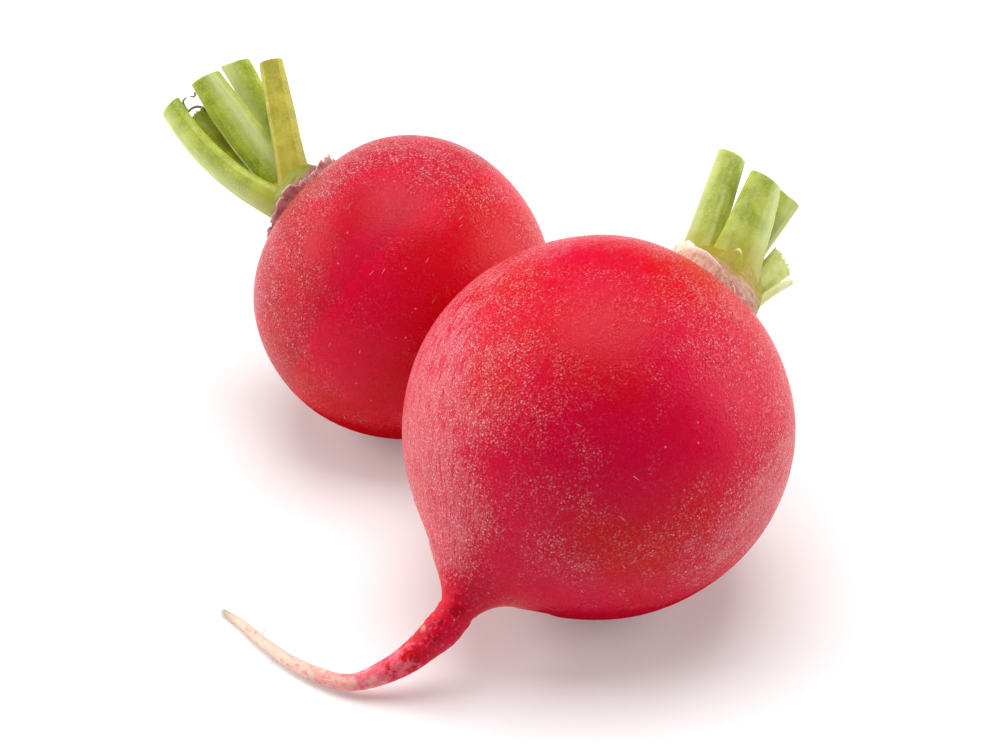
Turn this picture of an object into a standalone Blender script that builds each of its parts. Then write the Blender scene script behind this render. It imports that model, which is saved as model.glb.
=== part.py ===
"""A bunch of two trimmed radishes lying together, modelled at its real size.

Each radish is a round root that runs out into its taproot, a short crown on top of the bulb,
a dry leaf scale round the crown, and the cut stalks of its leaves. Lengths are metres, +Z is
up, and the surface that the bunch lies on is z = 0, under the middle of its footprint.

A radish is shaped in its own frame: the origin is the middle of the bulb, +Z runs out through
the crown, +X goes across the fan of its stalks and +Y goes to the far side of the fan.
"""
import math
from dataclasses import dataclass

import bmesh
import bpy
from mathutils import Matrix, Vector

MM = 0.001

# Fits
GAP = 0.3 * MM                 # clearance between neighbouring pieces
REST_FLAT = 0.45 * MM          # how much of each bulb's underside is pressed flat

# Middle of the footprint, measured from the point under the front bulb's middle
FOOTPRINT_CENTRE = (-13.5 * MM, 16.8 * MM)

# How finely the pieces are divided
ROOT_SIDES = 36
ROOT_RINGS = 44
CROWN_SIDES = 28
CROWN_RINGS = 14
STALK_SIDES = 16
STALK_RINGS = 8
SCALE_COLUMNS = 16
SCALE_ROWS = 3
SPINE_STEPS = 24               # samples of the taproot's line between two of its points

# Where the rings of a root go, as shares of its rings counted from the crown
BULB_SHARE = 0.50
NECK_SHARE = 0.18
BULB_END = math.radians(150.0)  # angle from the crown at which the bulb starts to run out
NECK_FIRST_PULL = 0.29         # fullness of the run-out at the bulb, in bulb radii
NECK_LAST_PULL = 0.17          # and at the taproot
TAIL_SWELL = 0.03              # how far the bulb is drawn out towards the taproot
TAIL_SPREAD = math.radians(36.0)

# The crown's dome: steep at the rim and round on top
DOME_FULLNESS = 2.6
DOME_EDGE = 0.6
DOME_CROWDING = 0.7            # under 1 puts more rings near the rim

SCALE_THICKNESS = 0.6 * MM
GROOVE_WIDTH = 0.45            # half-width of a stalk's channel, as a share of the stalk's

# Colours, linear
CRIMSON = (0.62, 0.012, 0.045)
OLIVE_GREEN = (0.42, 0.40, 0.06)
DUSTY_PINK = (0.46, 0.15, 0.13)
PAPER_PEACH = (0.80, 0.46, 0.32)
LEAF_GREEN = (0.36, 0.50, 0.07)
OLIVE_STALK = (0.46, 0.42, 0.06)
DARK_OLIVE = (0.20, 0.26, 0.03)
PALE_GREEN = (0.62, 0.68, 0.28)


@dataclass(frozen=True)
class Stalk:
    """One cut leaf stalk, placed in its radish's frame."""

    name: str
    foot: tuple      # x, y where it leaves the crown
    tip: tuple       # x, y, z of the middle of its cut end
    bow: tuple       # x, y by which its middle stands off the straight line
    width: tuple     # across it, at the foot, the middle and the cut
    thickness: tuple  # through it, at the foot and at the cut
    faces: float     # direction round the crown that its round back faces, degrees
    groove: float    # depth of its inner channel, as a share of half its thickness
    cut: float       # slant of the cut towards +X, degrees
    colour: tuple


@dataclass(frozen=True)
class Scale:
    """A dry leaf base that stands round the crown like a low wall."""

    name: str
    start: float     # direction round the crown where it starts, degrees
    end: float       # and where it ends
    heights: tuple   # height of its free edge at equal steps from start to end
    inset: float     # how far inside the crown's rim it stands
    flare: float     # how far it leans out for each unit of height
    on_crown: bool   # it stands on the crown's dome instead of on the bulb's skin
    colour: tuple


@dataclass(frozen=True)
class Radish:
    """One radish: its bulb, its taproot's route, its crown, scales and stalks."""

    name: str
    radius: float
    centre: tuple          # x, y of the bulb's middle, from the front bulb's
    heading: float         # direction in which the crown points, seen from above, degrees
    rise: float            # angle of the crown over the level, degrees
    roll: float            # turn of the stalks' fan about the crown, degrees
    shoulder_drop: float   # how far the skin sinks round the crown, in bulb radii
    shoulder_spread: float  # angle over which it sinks, degrees
    swell: float           # how much the bulb is wider one way than the other
    swell_turn: float      # direction of its longer width, from the crown towards +X, degrees
    tail: tuple            # x, y, z and radius along the taproot, from the front bulb's foot
    crown_radius: float
    crown_height: float
    crown_tilt: float      # how much taller the crown's +X side is
    knob: tuple            # size in crown radii, and direction in degrees, of its side bulge
    crown_colour: tuple
    scales: tuple
    stalks: tuple


FRONT = Radish(
    name="front",
    radius=20.0 * MM,
    centre=(0.0, 0.0),
    heading=47.7,
    rise=24.8,
    roll=-54.6,
    shoulder_drop=0.05,
    shoulder_spread=28.0,
    swell=0.012,
    swell_turn=40.0,
    tail=(
        (-15.3 * MM, -17.4 * MM, 8.0 * MM, 1.65 * MM),
        (-18.3 * MM, -18.5 * MM, 5.2 * MM, 1.55 * MM),
        (-21.2 * MM, -19.1 * MM, 3.2 * MM, 1.30 * MM),
        (-25.3 * MM, -19.15 * MM, 1.5 * MM, 0.90 * MM),
        (-30.2 * MM, -16.4 * MM, 0.95 * MM, 0.77 * MM),
        (-34.0 * MM, -12.8 * MM, 0.8 * MM, 0.62 * MM),
        (-37.1 * MM, -9.0 * MM, 0.65 * MM, 0.47 * MM),
        (-39.4 * MM, -6.5 * MM, 0.45 * MM, 0.28 * MM),
    ),
    crown_radius=5.5 * MM,
    crown_height=4.4 * MM,
    crown_tilt=0.10,
    knob=(0.05, -25.0),
    crown_colour=OLIVE_GREEN,
    scales=(
        Scale("front_scale", 168.0, 292.0, (1.2 * MM, 2.3 * MM, 2.1 * MM, 1.5 * MM, 0.5 * MM),
              -GAP, 0.12, False, PAPER_PEACH),
        Scale("front_torn_stub", 243.0, 296.0, (0.5 * MM, 1.3 * MM, 1.0 * MM, 0.5 * MM),
              0.9 * MM, 0.20, True, PALE_GREEN),
    ),
    stalks=(
        Stalk("front_stalk_left", (-3.7 * MM, -0.3 * MM), (-7.2 * MM, 0.4 * MM, 32.9 * MM),
              (0.0, 0.0), (3.8 * MM, 3.5 * MM, 3.2 * MM), (2.6 * MM, 2.4 * MM),
              235.0, 0.35, -6.0, LEAF_GREEN),
        Stalk("front_stalk_middle", (0.2 * MM, -2.2 * MM), (-2.8 * MM, -1.7 * MM, 32.4 * MM),
              (0.0, 0.0), (4.4 * MM, 4.5 * MM, 3.6 * MM), (2.2 * MM, 2.2 * MM),
              275.0, 0.55, -8.0, LEAF_GREEN),
        Stalk("front_stalk_behind", (1.4 * MM, 2.3 * MM), (0.3 * MM, 2.2 * MM, 34.2 * MM),
              (0.1 * MM, 0.0), (2.2 * MM, 2.5 * MM, 3.1 * MM), (1.6 * MM, 1.9 * MM),
              80.0, 0.40, 3.0, LEAF_GREEN),
        Stalk("front_stalk_stub", (3.5 * MM, 0.4 * MM), (4.1 * MM, 1.2 * MM, 28.0 * MM),
              (0.0, 0.0), (2.6 * MM, 3.0 * MM, 3.4 * MM), (1.5 * MM, 1.5 * MM),
              290.0, 0.30, 18.0, PALE_GREEN),
        Stalk("front_stalk_sliver", (4.8 * MM, -0.6 * MM), (6.1 * MM, 0.2 * MM, 26.2 * MM),
              (-0.1 * MM, 0.0), (1.6 * MM, 1.5 * MM, 1.0 * MM), (0.9 * MM, 0.7 * MM),
              350.0, 0.0, 10.0, PALE_GREEN),
    ),
)

BACK = Radish(
    name="back",
    radius=17.1 * MM,
    centre=(-21.35 * MM, 30.78 * MM),
    heading=143.1,
    rise=24.6,
    roll=-132.0,
    shoulder_drop=0.145,
    shoulder_spread=35.0,
    swell=0.008,
    swell_turn=50.0,
    tail=(
        (-6.2 * MM, 20.9 * MM, 7.2 * MM, 1.35 * MM),
        (-2.6 * MM, 23.6 * MM, 3.8 * MM, 1.20 * MM),
        (1.6 * MM, 27.3 * MM, 1.7 * MM, 0.95 * MM),
        (6.0 * MM, 31.4 * MM, 1.0 * MM, 0.75 * MM),
        (9.4 * MM, 36.0 * MM, 0.8 * MM, 0.58 * MM),
        (10.9 * MM, 41.0 * MM, 0.65 * MM, 0.42 * MM),
        (10.2 * MM, 45.0 * MM, 0.45 * MM, 0.28 * MM),
    ),
    crown_radius=4.7 * MM,
    crown_height=3.4 * MM,
    crown_tilt=0.0,
    knob=(0.04, 160.0),
    crown_colour=OLIVE_GREEN,
    scales=(
        Scale("back_scale", 158.0, 372.0,
              (1.4 * MM, 0.8 * MM, 1.1 * MM, 0.9 * MM, 1.1 * MM, 0.9 * MM, 1.3 * MM, 0.7 * MM),
              -GAP, 0.10, False, DUSTY_PINK),
    ),
    stalks=(
        Stalk("back_stalk_outer", (-2.7 * MM, -1.6 * MM), (-2.35 * MM, -1.2 * MM, 34.0 * MM),
              (-1.1 * MM, 0.0), (3.5 * MM, 3.5 * MM, 3.0 * MM), (2.4 * MM, 2.4 * MM),
              225.0, 0.40, 3.0, LEAF_GREEN),
        Stalk("back_stalk_middle", (-0.3 * MM, 0.7 * MM), (2.7 * MM, 0.2 * MM, 33.8 * MM),
              (-0.2 * MM, 0.0), (3.4 * MM, 4.2 * MM, 3.5 * MM), (1.9 * MM, 2.1 * MM),
              270.0, 0.50, 21.0, LEAF_GREEN),
        Stalk("back_stalk_behind", (1.4 * MM, 2.9 * MM), (6.35 * MM, 2.3 * MM, 33.1 * MM),
              (0.0, 0.0), (2.6 * MM, 3.2 * MM, 3.6 * MM), (1.6 * MM, 1.9 * MM),
              70.0, 0.30, 38.0, LEAF_GREEN),
        Stalk("back_stalk_right", (1.7 * MM, -1.8 * MM), (9.1 * MM, -1.0 * MM, 28.8 * MM),
              (0.0, 0.0), (3.4 * MM, 3.3 * MM, 2.8 * MM), (2.2 * MM, 2.2 * MM),
              310.0, 0.35, 32.0, OLIVE_STALK),
        Stalk("back_stalk_young", (-1.7 * MM, 3.0 * MM), (-0.8 * MM, 2.2 * MM, 32.6 * MM),
              (0.0, 0.0), (2.2 * MM, 2.8 * MM, 2.2 * MM), (1.2 * MM, 0.9 * MM),
              110.0, 0.30, 0.0, DARK_OLIVE),
    ),
)


def placement(radish):
    """Return the matrix that takes the radish's own frame to the bunch's."""
    lift = radish.radius - REST_FLAT
    turn = (
        Matrix.Rotation(math.radians(radish.heading), 4, "Z")
        @ Matrix.Rotation(math.radians(90.0 - radish.rise), 4, "Y")
        @ Matrix.Rotation(math.radians(radish.roll), 4, "Z")
    )
    return Matrix.Translation((radish.centre[0], radish.centre[1], lift)) @ turn


def unevenness(radish, polar, azimuth):
    """Return how far the skin stands off the turned shape there, as a share of the radius."""
    from_axis = math.atan2(math.sin(polar) * math.cos(azimuth), math.cos(polar))
    longer = math.cos(2.0 * (from_axis - math.radians(radish.swell_turn)))
    lobes = 0.004 * math.sin(3.0 * azimuth + 1.0) + 0.003 * math.sin(5.0 * azimuth + 2.5 * polar)
    return radish.swell * longer * abs(math.cos(azimuth)) + lobes * math.sin(polar) ** 2


def turned_reach(radish, polar):
    """Return the distance from the bulb's middle to its skin, with no unevenness."""
    spread = math.radians(radish.shoulder_spread)
    sink = radish.shoulder_drop * math.exp(-((polar / spread) ** 2))
    draw = TAIL_SWELL * math.exp(-(((math.pi - polar) / TAIL_SPREAD) ** 2))
    return radish.radius * (1.0 - sink + draw)


def skin_height(radish, x, y, clear=0.0):
    """Return how high the bulb's skin is under a point by the crown, grown by a clearance."""
    across = math.hypot(x, y)
    azimuth = math.atan2(y, x)
    height = radish.radius
    for _ in range(6):
        polar = math.atan2(across, height)
        reach = turned_reach(radish, polar) * (1.0 + unevenness(radish, polar, azimuth)) + clear
        height = math.sqrt(max(reach * reach - across * across, 0.0))
    return height


def crown_rim(radish, azimuth):
    """Return the crown's radius in a direction."""
    size, direction = radish.knob
    bulge = size * math.cos(azimuth - math.radians(direction))
    ripple = 0.02 * math.sin(5.0 * azimuth + 0.7)
    return radish.crown_radius * (1.0 + bulge + ripple)


def dome_height(radish, x, y, clear=0.0):
    """Return the height of the crown's dome over the skin, grown by a clearance."""
    rim = crown_rim(radish, math.atan2(y, x)) + clear
    share = math.hypot(x, y) / rim
    if share >= 1.0:
        return 0.0
    full = (1.0 - share ** DOME_FULLNESS) ** DOME_EDGE
    return (radish.crown_height * (1.0 + radish.crown_tilt * x / rim) + clear) * full


def seat_height(radish, x, y):
    """Return the lowest height at which a stalk or scale clears the skin and the crown."""
    return skin_height(radish, x, y, GAP) + dome_height(radish, x, y, GAP)


def hermite(start, end, start_slope, end_slope, share):
    """Return the point at a share of the way along a smooth step between two points."""
    a = share * share
    b = a * share
    return (
        start * (2.0 * b - 3.0 * a + 1.0)
        + start_slope * (b - 2.0 * a + share)
        + end * (3.0 * a - 2.0 * b)
        + end_slope * (b - a)
    )


class Spine:
    """The middle line of a root, with the taproot's thickness along it."""

    def __init__(self, points):
        """Take points of x, y, z and radius, and run a smooth line through them."""
        marks = [0.0]
        for before, after in zip(points, points[1:]):
            marks.append(marks[-1] + (after.xyz - before.xyz).length)
        slopes = []
        for index in range(len(points)):
            low = max(index - 1, 0)
            high = min(index + 1, len(points) - 1)
            slopes.append((points[high] - points[low]) / (marks[high] - marks[low]))
        self.samples = []
        for index in range(len(points) - 1):
            span = marks[index + 1] - marks[index]
            for step in range(SPINE_STEPS):
                self.samples.append(hermite(
                    points[index], points[index + 1],
                    slopes[index] * span, slopes[index + 1] * span, step / SPINE_STEPS,
                ))
        self.samples.append(points[-1])
        self.measure()

    def measure(self):
        """Work out the distance and the two side directions at each sample."""
        self.distances = [0.0]
        for before, after in zip(self.samples, self.samples[1:]):
            self.distances.append(self.distances[-1] + (after.xyz - before.xyz).length)
        self.sides = []
        side = Vector((1.0, 0.0, 0.0))
        for index in range(len(self.samples)):
            low = max(index - 1, 0)
            high = min(index + 1, len(self.samples) - 1)
            along = (self.samples[high].xyz - self.samples[low].xyz).normalized()
            side = (side - along * side.dot(along)).normalized()
            self.sides.append((side, side.cross(along)))

    def at(self, distance):
        """Return the middle, the two side directions and the radius at a distance."""
        last = len(self.distances) - 2
        index = 0
        while index < last and self.distances[index + 1] < distance:
            index += 1
        span = self.distances[index + 1] - self.distances[index]
        share = min(max((distance - self.distances[index]) / span, 0.0), 1.0)
        sample = self.samples[index].lerp(self.samples[index + 1], share)
        side = self.sides[index][0].lerp(self.sides[index + 1][0], share).normalized()
        back = self.sides[index][1].lerp(self.sides[index + 1][1], share).normalized()
        return sample.xyz, side, back, sample.w


def root_spine(radish):
    """Return the root's middle line from the bulb's middle, and the neck's end along it."""
    to_frame = placement(radish).inverted()
    points = [Vector((0.0, 0.0, -radish.radius * share, 0.0)) for share in (0.0, 0.5, 1.0)]
    for x, y, z, thick in radish.tail:
        local = to_frame @ Vector((x, y, z))
        points.append(Vector((local.x, local.y, local.z, thick)))
    spine = Spine(points)
    neck_end = spine.distances[3 * SPINE_STEPS]
    return spine, neck_end


def neck_outline(radish, neck_end, tail_radius, share):
    """Return the distance along the root and the radius, where the bulb runs out."""
    step = 0.001
    here = turned_reach(radish, BULB_END)
    before = turned_reach(radish, BULB_END - step)
    start = Vector((-here * math.cos(BULB_END), here * math.sin(BULB_END)))
    earlier = Vector((-before * math.cos(BULB_END - step), before * math.sin(BULB_END - step)))
    first = start + (start - earlier).normalized() * NECK_FIRST_PULL * radish.radius
    end = Vector((neck_end, tail_radius))
    last = end - Vector((NECK_LAST_PULL * radish.radius, 0.0))
    rest = 1.0 - share
    return (
        start * rest ** 3
        + first * 3.0 * rest * rest * share
        + last * 3.0 * rest * share * share
        + end * share ** 3
    )


def root_point(radish, spine, neck_end, share, azimuth):
    """Return the root's skin at a share of the way from its crown to its tip."""
    if share <= BULB_SHARE:
        polar = BULB_END * share / BULB_SHARE
        reach = turned_reach(radish, polar) * (1.0 + unevenness(radish, polar, azimuth))
        flat = reach * math.sin(polar)
        return Vector((flat * math.cos(azimuth), flat * math.sin(azimuth),
                       reach * math.cos(polar)))
    beyond = share - BULB_SHARE
    if beyond <= NECK_SHARE:
        part = beyond / NECK_SHARE
        distance, ring = neck_outline(radish, neck_end, spine.at(neck_end)[3], part)
        uneven = 1.0 + unevenness(radish, BULB_END, azimuth) * (1.0 - part) ** 2
        distance *= uneven
        ring *= uneven
    else:
        part = (beyond - NECK_SHARE) / (1.0 - BULB_SHARE - NECK_SHARE)
        distance = neck_end + (spine.distances[-1] - neck_end) * part
        ring = spine.at(distance)[3]
    if share >= 1.0:
        ring = 0.0
    middle, side, back, _ = spine.at(distance)
    return middle + (side * math.cos(azimuth) + back * math.sin(azimuth)) * ring


def make_material(name, colour, roughness):
    """Return a plain finish of one colour."""
    material = bpy.data.materials.new(name)
    material.use_nodes = True
    shader = material.node_tree.nodes["Principled BSDF"]
    shader.inputs["Base Color"].default_value = (*colour, 1.0)
    shader.inputs["Roughness"].default_value = roughness
    shader.inputs["Metallic"].default_value = 0.0
    return material


def add_piece(name, shape, parent, collection, colour, roughness):
    """Turn a bmesh into a smooth, named and coloured object in its radish's frame."""
    mesh = bpy.data.meshes.new(name)
    shape.to_mesh(mesh)
    shape.free()
    mesh.shade_smooth()
    mesh.set_sharp_from_angle(angle=math.radians(45.0))
    mesh.materials.append(make_material(name + "_finish", colour, roughness))
    piece = bpy.data.objects.new(name, mesh)
    piece.parent = parent
    collection.objects.link(piece)
    return piece


def ball(sides, rings):
    """Return a unit ball, and for each vertex its angle from the pole and its direction."""
    shape = bmesh.new()
    bmesh.ops.create_uvsphere(shape, u_segments=sides, v_segments=rings, radius=1.0)
    places = []
    for vertex in shape.verts:
        polar = math.acos(max(-1.0, min(1.0, vertex.co.z)))
        places.append((vertex, polar, math.atan2(vertex.co.y, vertex.co.x)))
    return shape, places


def make_root(radish, parent, collection):
    """Shape a ball into the bulb and its taproot, pressed flat where it rests."""
    spine, neck_end = root_spine(radish)
    to_bunch = placement(radish)
    to_frame = to_bunch.inverted()
    shape, places = ball(ROOT_SIDES, ROOT_RINGS)
    for vertex, polar, azimuth in places:
        skin = root_point(radish, spine, neck_end, polar / math.pi, azimuth)
        standing = to_bunch @ skin
        standing.z = max(standing.z, 0.0)
        vertex.co = to_frame @ standing
    add_piece(radish.name + "_root", shape, parent, collection, CRIMSON, 0.35)


def make_crown(radish, parent, collection):
    """Shape a ball into the crown: a dome on top and the bulb's own curve beneath."""
    shape, places = ball(CROWN_SIDES, CROWN_RINGS)
    for vertex, polar, azimuth in places:
        rim = crown_rim(radish, azimuth)
        upper = polar < math.pi / 2.0
        share = math.sin(polar)
        if upper:
            share = share ** DOME_CROWDING
        share = min(share, 1.0)
        x = rim * share * math.cos(azimuth)
        y = rim * share * math.sin(azimuth)
        height = skin_height(radish, x, y, GAP)
        if upper:
            height += dome_height(radish, x, y)
        vertex.co = (x, y, height)
    add_piece(radish.name + "_crown", shape, parent, collection, radish.crown_colour, 0.5)


def between(values, share):
    """Return the value at a share of the way along equally spaced values, smoothly."""
    spot = share * (len(values) - 1)
    index = min(int(spot), len(values) - 2)
    part = spot - index
    ease = part * part * (3.0 - 2.0 * part)
    return values[index] + (values[index + 1] - values[index]) * ease


def make_scale(radish, scale, parent, collection):
    """Wrap a grid round the crown as a low wall and give it its thickness."""
    shape = bmesh.new()
    bmesh.ops.create_grid(shape, x_segments=SCALE_COLUMNS, y_segments=SCALE_ROWS, size=1.0)
    for vertex in shape.verts:
        along = (vertex.co.x + 1.0) / 2.0
        up = (vertex.co.y + 1.0) / 2.0
        azimuth = math.radians(scale.start + (scale.end - scale.start) * along)
        rise = between(scale.heights, along) * up
        out = crown_rim(radish, azimuth) - scale.inset + scale.flare * rise
        x = out * math.cos(azimuth)
        y = out * math.sin(azimuth)
        floor = out - scale.flare * rise + SCALE_THICKNESS
        if scale.on_crown:
            floor -= SCALE_THICKNESS
        base_x = floor * math.cos(azimuth)
        base_y = floor * math.sin(azimuth)
        if scale.on_crown:
            base = seat_height(radish, base_x, base_y)
        else:
            base = skin_height(radish, base_x, base_y, GAP)
        vertex.co = (x, y, base + rise)
    piece = add_piece(scale.name, shape, parent, collection, scale.colour, 0.6)
    solidify = piece.modifiers.new("thickness", "SOLIDIFY")
    solidify.thickness = SCALE_THICKNESS
    solidify.offset = 1.0


def stalk_line(radish, stalk, share):
    """Return the middle of a stalk and its direction at a share of its length."""
    x, y = stalk.foot
    foot = Vector((x, y, seat_height(radish, x, y)))
    tip = Vector(stalk.tip)
    bend = (foot + tip) / 2.0 + Vector((stalk.bow[0], stalk.bow[1], 0.0)) * 2.0
    rest = 1.0 - share
    middle = foot * rest * rest + bend * 2.0 * rest * share + tip * share * share
    along = ((bend - foot) * rest + (tip - bend) * share).normalized()
    return middle, along


def stalk_offset(stalk, along, share, angle):
    """Return the way from a stalk's middle line to its skin at an angle round it."""
    faces = math.radians(stalk.faces)
    outer = Vector((math.cos(faces), math.sin(faces), 0.0))
    outer = (outer - along * outer.dot(along)).normalized()
    side = along.cross(outer)
    foot, middle, cut = stalk.width
    width = foot * (1.0 - share) ** 2 + (4.0 * middle - foot - cut) * share * (1.0 - share)
    width += cut * share ** 2
    thick = stalk.thickness[0] + (stalk.thickness[1] - stalk.thickness[0]) * share
    across = math.cos(angle)
    through = math.sin(angle)
    if through < 0.0:
        through *= 1.0 - stalk.groove * math.exp(-((across / GROOVE_WIDTH) ** 2))
    return side * (across * width / 2.0) + outer * (through * thick / 2.0)


def stalk_ring(radish, stalk, share, size=1.0):
    """Return the points of one ring; the first follows the crown and the last the cut."""
    middle, along = stalk_line(radish, stalk, share)
    slant = math.radians(stalk.cut)
    normal = Vector((math.sin(slant), 0.0, math.cos(slant)))
    ring = []
    for index in range(STALK_SIDES):
        angle = 2.0 * math.pi * index / STALK_SIDES
        offset = stalk_offset(stalk, along, share, angle) * size
        point = middle + offset
        if share <= 0.0:
            point.z = seat_height(radish, point.x, point.y)
        if share >= 1.0:
            point -= along * (offset.dot(normal) / along.dot(normal))
        ring.append(point)
    return ring


def bridge(shape, lower, upper):
    """Join two rings of vertices with a band of faces."""
    count = len(lower)
    for index in range(count):
        after = (index + 1) % count
        shape.faces.new((lower[index], lower[after], upper[after], upper[index]))


def fan(shape, ring, middle):
    """Close a ring of vertices with a fan of triangles about a middle vertex."""
    for index in range(len(ring)):
        shape.faces.new((ring[index], middle, ring[(index + 1) % len(ring)]))


def make_stalk(radish, stalk, parent, collection):
    """Loft a stalk from its channelled foot on the crown to its slanting cut end."""
    shape = bmesh.new()
    foot = [shape.verts.new(point) for point in stalk_ring(radish, stalk, 0.0)]
    inner = [shape.verts.new(point) for point in stalk_ring(radish, stalk, 0.0, 0.5)]
    centre = shape.verts.new(stalk_line(radish, stalk, 0.0)[0])
    bridge(shape, inner, foot)
    fan(shape, inner, centre)
    below = foot
    for index in range(1, STALK_RINGS + 1):
        share = index / STALK_RINGS
        ring = [shape.verts.new(point) for point in stalk_ring(radish, stalk, share)]
        bridge(shape, below, ring)
        below = ring
    fan(shape, below, shape.verts.new(stalk_line(radish, stalk, 1.0)[0]))
    bmesh.ops.recalc_face_normals(shape, faces=shape.faces)
    add_piece(stalk.name, shape, parent, collection, stalk.colour, 0.45)


def make_radish(radish, bunch, collection):
    """Make all the pieces of one radish under an empty at its bulb's middle."""
    frame = bpy.data.objects.new(radish.name + "_radish", None)
    frame.matrix_world = placement(radish)
    frame.parent = bunch
    collection.objects.link(frame)
    make_root(radish, frame, collection)
    make_crown(radish, frame, collection)
    for scale in radish.scales:
        make_scale(radish, scale, frame, collection)
    for stalk in radish.stalks:
        make_stalk(radish, stalk, frame, collection)


def clear_scene():
    """Remove every object from the scene."""
    for piece in list(bpy.data.objects):
        bpy.data.objects.remove(piece, do_unlink=True)


def main():
    """Build the bunch with the middle of its footprint on the origin."""
    clear_scene()
    collection = bpy.data.collections.new("Bunch of radishes")
    bpy.context.scene.collection.children.link(collection)
    bunch = bpy.data.objects.new("bunch", None)
    bunch.location = (-FOOTPRINT_CENTRE[0], -FOOTPRINT_CENTRE[1], 0.0)
    collection.objects.link(bunch)
    for radish in (FRONT, BACK):
        make_radish(radish, bunch, collection)


main()
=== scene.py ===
"""The looks of a bunch of two trimmed radishes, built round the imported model.

Each radish is dressed in its own frame, which is the model's: the origin is the middle of the
bulb, +Z runs out through the crown, +X goes across the fan of its stalks and +Y goes to the
far side of the fan. Lengths are metres, and colours are sRGB hex values.
"""

import logging
import math
from dataclasses import dataclass, field
from enum import Enum, IntEnum
from typing import Any, Dict, List, Optional, Sequence, Tuple, Union

import bpy
import numpy as np
from mathutils import Matrix, Vector


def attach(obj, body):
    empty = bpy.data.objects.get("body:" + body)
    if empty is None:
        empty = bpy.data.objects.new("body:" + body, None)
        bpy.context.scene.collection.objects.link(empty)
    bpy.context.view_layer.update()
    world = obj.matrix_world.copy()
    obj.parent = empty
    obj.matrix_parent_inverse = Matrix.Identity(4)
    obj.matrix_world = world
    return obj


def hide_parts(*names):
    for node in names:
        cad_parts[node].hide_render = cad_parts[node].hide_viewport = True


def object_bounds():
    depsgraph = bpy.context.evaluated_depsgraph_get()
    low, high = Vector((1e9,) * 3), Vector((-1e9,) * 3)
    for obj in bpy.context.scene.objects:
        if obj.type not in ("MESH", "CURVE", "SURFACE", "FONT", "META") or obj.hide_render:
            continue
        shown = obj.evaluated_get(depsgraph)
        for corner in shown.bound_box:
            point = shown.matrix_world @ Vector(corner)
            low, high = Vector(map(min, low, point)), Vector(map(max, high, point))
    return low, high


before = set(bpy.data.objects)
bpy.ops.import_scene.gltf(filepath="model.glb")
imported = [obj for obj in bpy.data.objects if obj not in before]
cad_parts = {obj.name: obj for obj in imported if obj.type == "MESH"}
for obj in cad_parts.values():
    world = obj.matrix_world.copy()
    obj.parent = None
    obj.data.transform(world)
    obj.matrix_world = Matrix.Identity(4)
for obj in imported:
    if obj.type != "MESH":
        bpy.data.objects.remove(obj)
CAD_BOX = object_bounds()

LOG = logging.getLogger("radishes")
MM = 0.001
GAP = 0.3 * MM  # clearance between the model's neighbouring pieces
REST_FLAT = 0.45 * MM  # how much of each bulb's underside is pressed flat
FOOTPRINT_CENTRE = (-13.5 * MM, 16.8 * MM)  # from the point under the front bulb's middle

# Where the rings of a root go, as shares of the way from its crown to its tip
BULB_SHARE = 0.50
NECK_SHARE = 0.18
BULB_END = math.radians(150.0)
NECK_FIRST_PULL = 0.29
NECK_LAST_PULL = 0.17
TAIL_SWELL = 0.03
TAIL_SPREAD = math.radians(36.0)
TANGENT_STEP = 0.001  # radians, to find the outline's direction
SPINE_STEPS = 24  # samples between two of a taproot's points

# The bulbs, crowns and stalks as the model has them
THREE_LOBES = 0.004  # height of three broad lobes round a bulb, in radii
FIVE_LOBES = 0.003  # and of five
LOBE_TURN = 1.0
LOBE_TWIST = 2.5
HEIGHT_ROUNDS = 6  # rounds to find the skin's height under a point
RIM_WAVE = 0.02  # how wavy a crown's rim is, as a share of its radius
RIM_TURN = 0.7
DOME_FULLNESS = 2.6
DOME_EDGE = 0.6
GROOVE_WIDTH = 0.45  # of a stalk's groove, as a share of half its width

EDGE_WAVES = 8  # plane waves in a torn sheet's edge
TEAR_WAVES = 10  # and in a torn stalk's
THREAD_SIDE = (0.3, 0.2, 0.93)  # a direction that no strand runs in

Point = Tuple[float, float]
Lengths = Tuple[float, ...]
Node = bpy.types.Node
Socket = bpy.types.NodeSocket
Piece = bpy.types.Object
Material = bpy.types.Material
Mesh = bpy.types.Mesh
NodeTree = bpy.types.NodeTree
Array = np.ndarray
Spots = Tuple[Tuple[int, int], ...]  # row and column of each corner of a face


def linear(hex_colour: str) -> Tuple[float, float, float, float]:
    """Turn an sRGB hex colour into linear red, green, blue and an alpha of one.

    Args:
        hex_colour: a colour such as "#D80530".

    Returns:
        The four values that a colour socket takes.
    """
    values = []
    for start in (1, 3, 5):
        share = int(hex_colour[start:start + 2], 16) / 255.0
        low = share / 12.92
        values.append(low if share <= 0.04045 else ((share + 0.055) / 1.055) ** 2.4)
    return (values[0], values[1], values[2], 1.0)


def fill(tree: NodeTree, node: Node, inputs: Dict[Any, Any]) -> None:
    """Set or link a node's inputs.

    Args:
        tree: the tree that the node is in.
        node: the node.
        inputs: a value or another node's output for each input, by name or number.
    """
    for key, value in inputs.items():
        if isinstance(value, Socket):
            tree.links.new(value, node.inputs[key])
        else:
            node.inputs[key].default_value = value


def add_node(tree: NodeTree, kind: str, inputs: Optional[Dict[Any, Any]] = None,
             **settings: Any) -> Node:
    """Add a node to a tree with its settings, values and links.

    Args:
        tree: the tree that the node goes in.
        kind: Blender's name for the node's type.
        inputs: a value or another node's output for each input, by name or number.
        settings: the node's own properties.

    Returns:
        The new node.
    """
    node = tree.nodes.new(kind)
    for name, value in settings.items():
        setattr(node, name, value)
    fill(tree, node, inputs or {})
    return node


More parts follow.
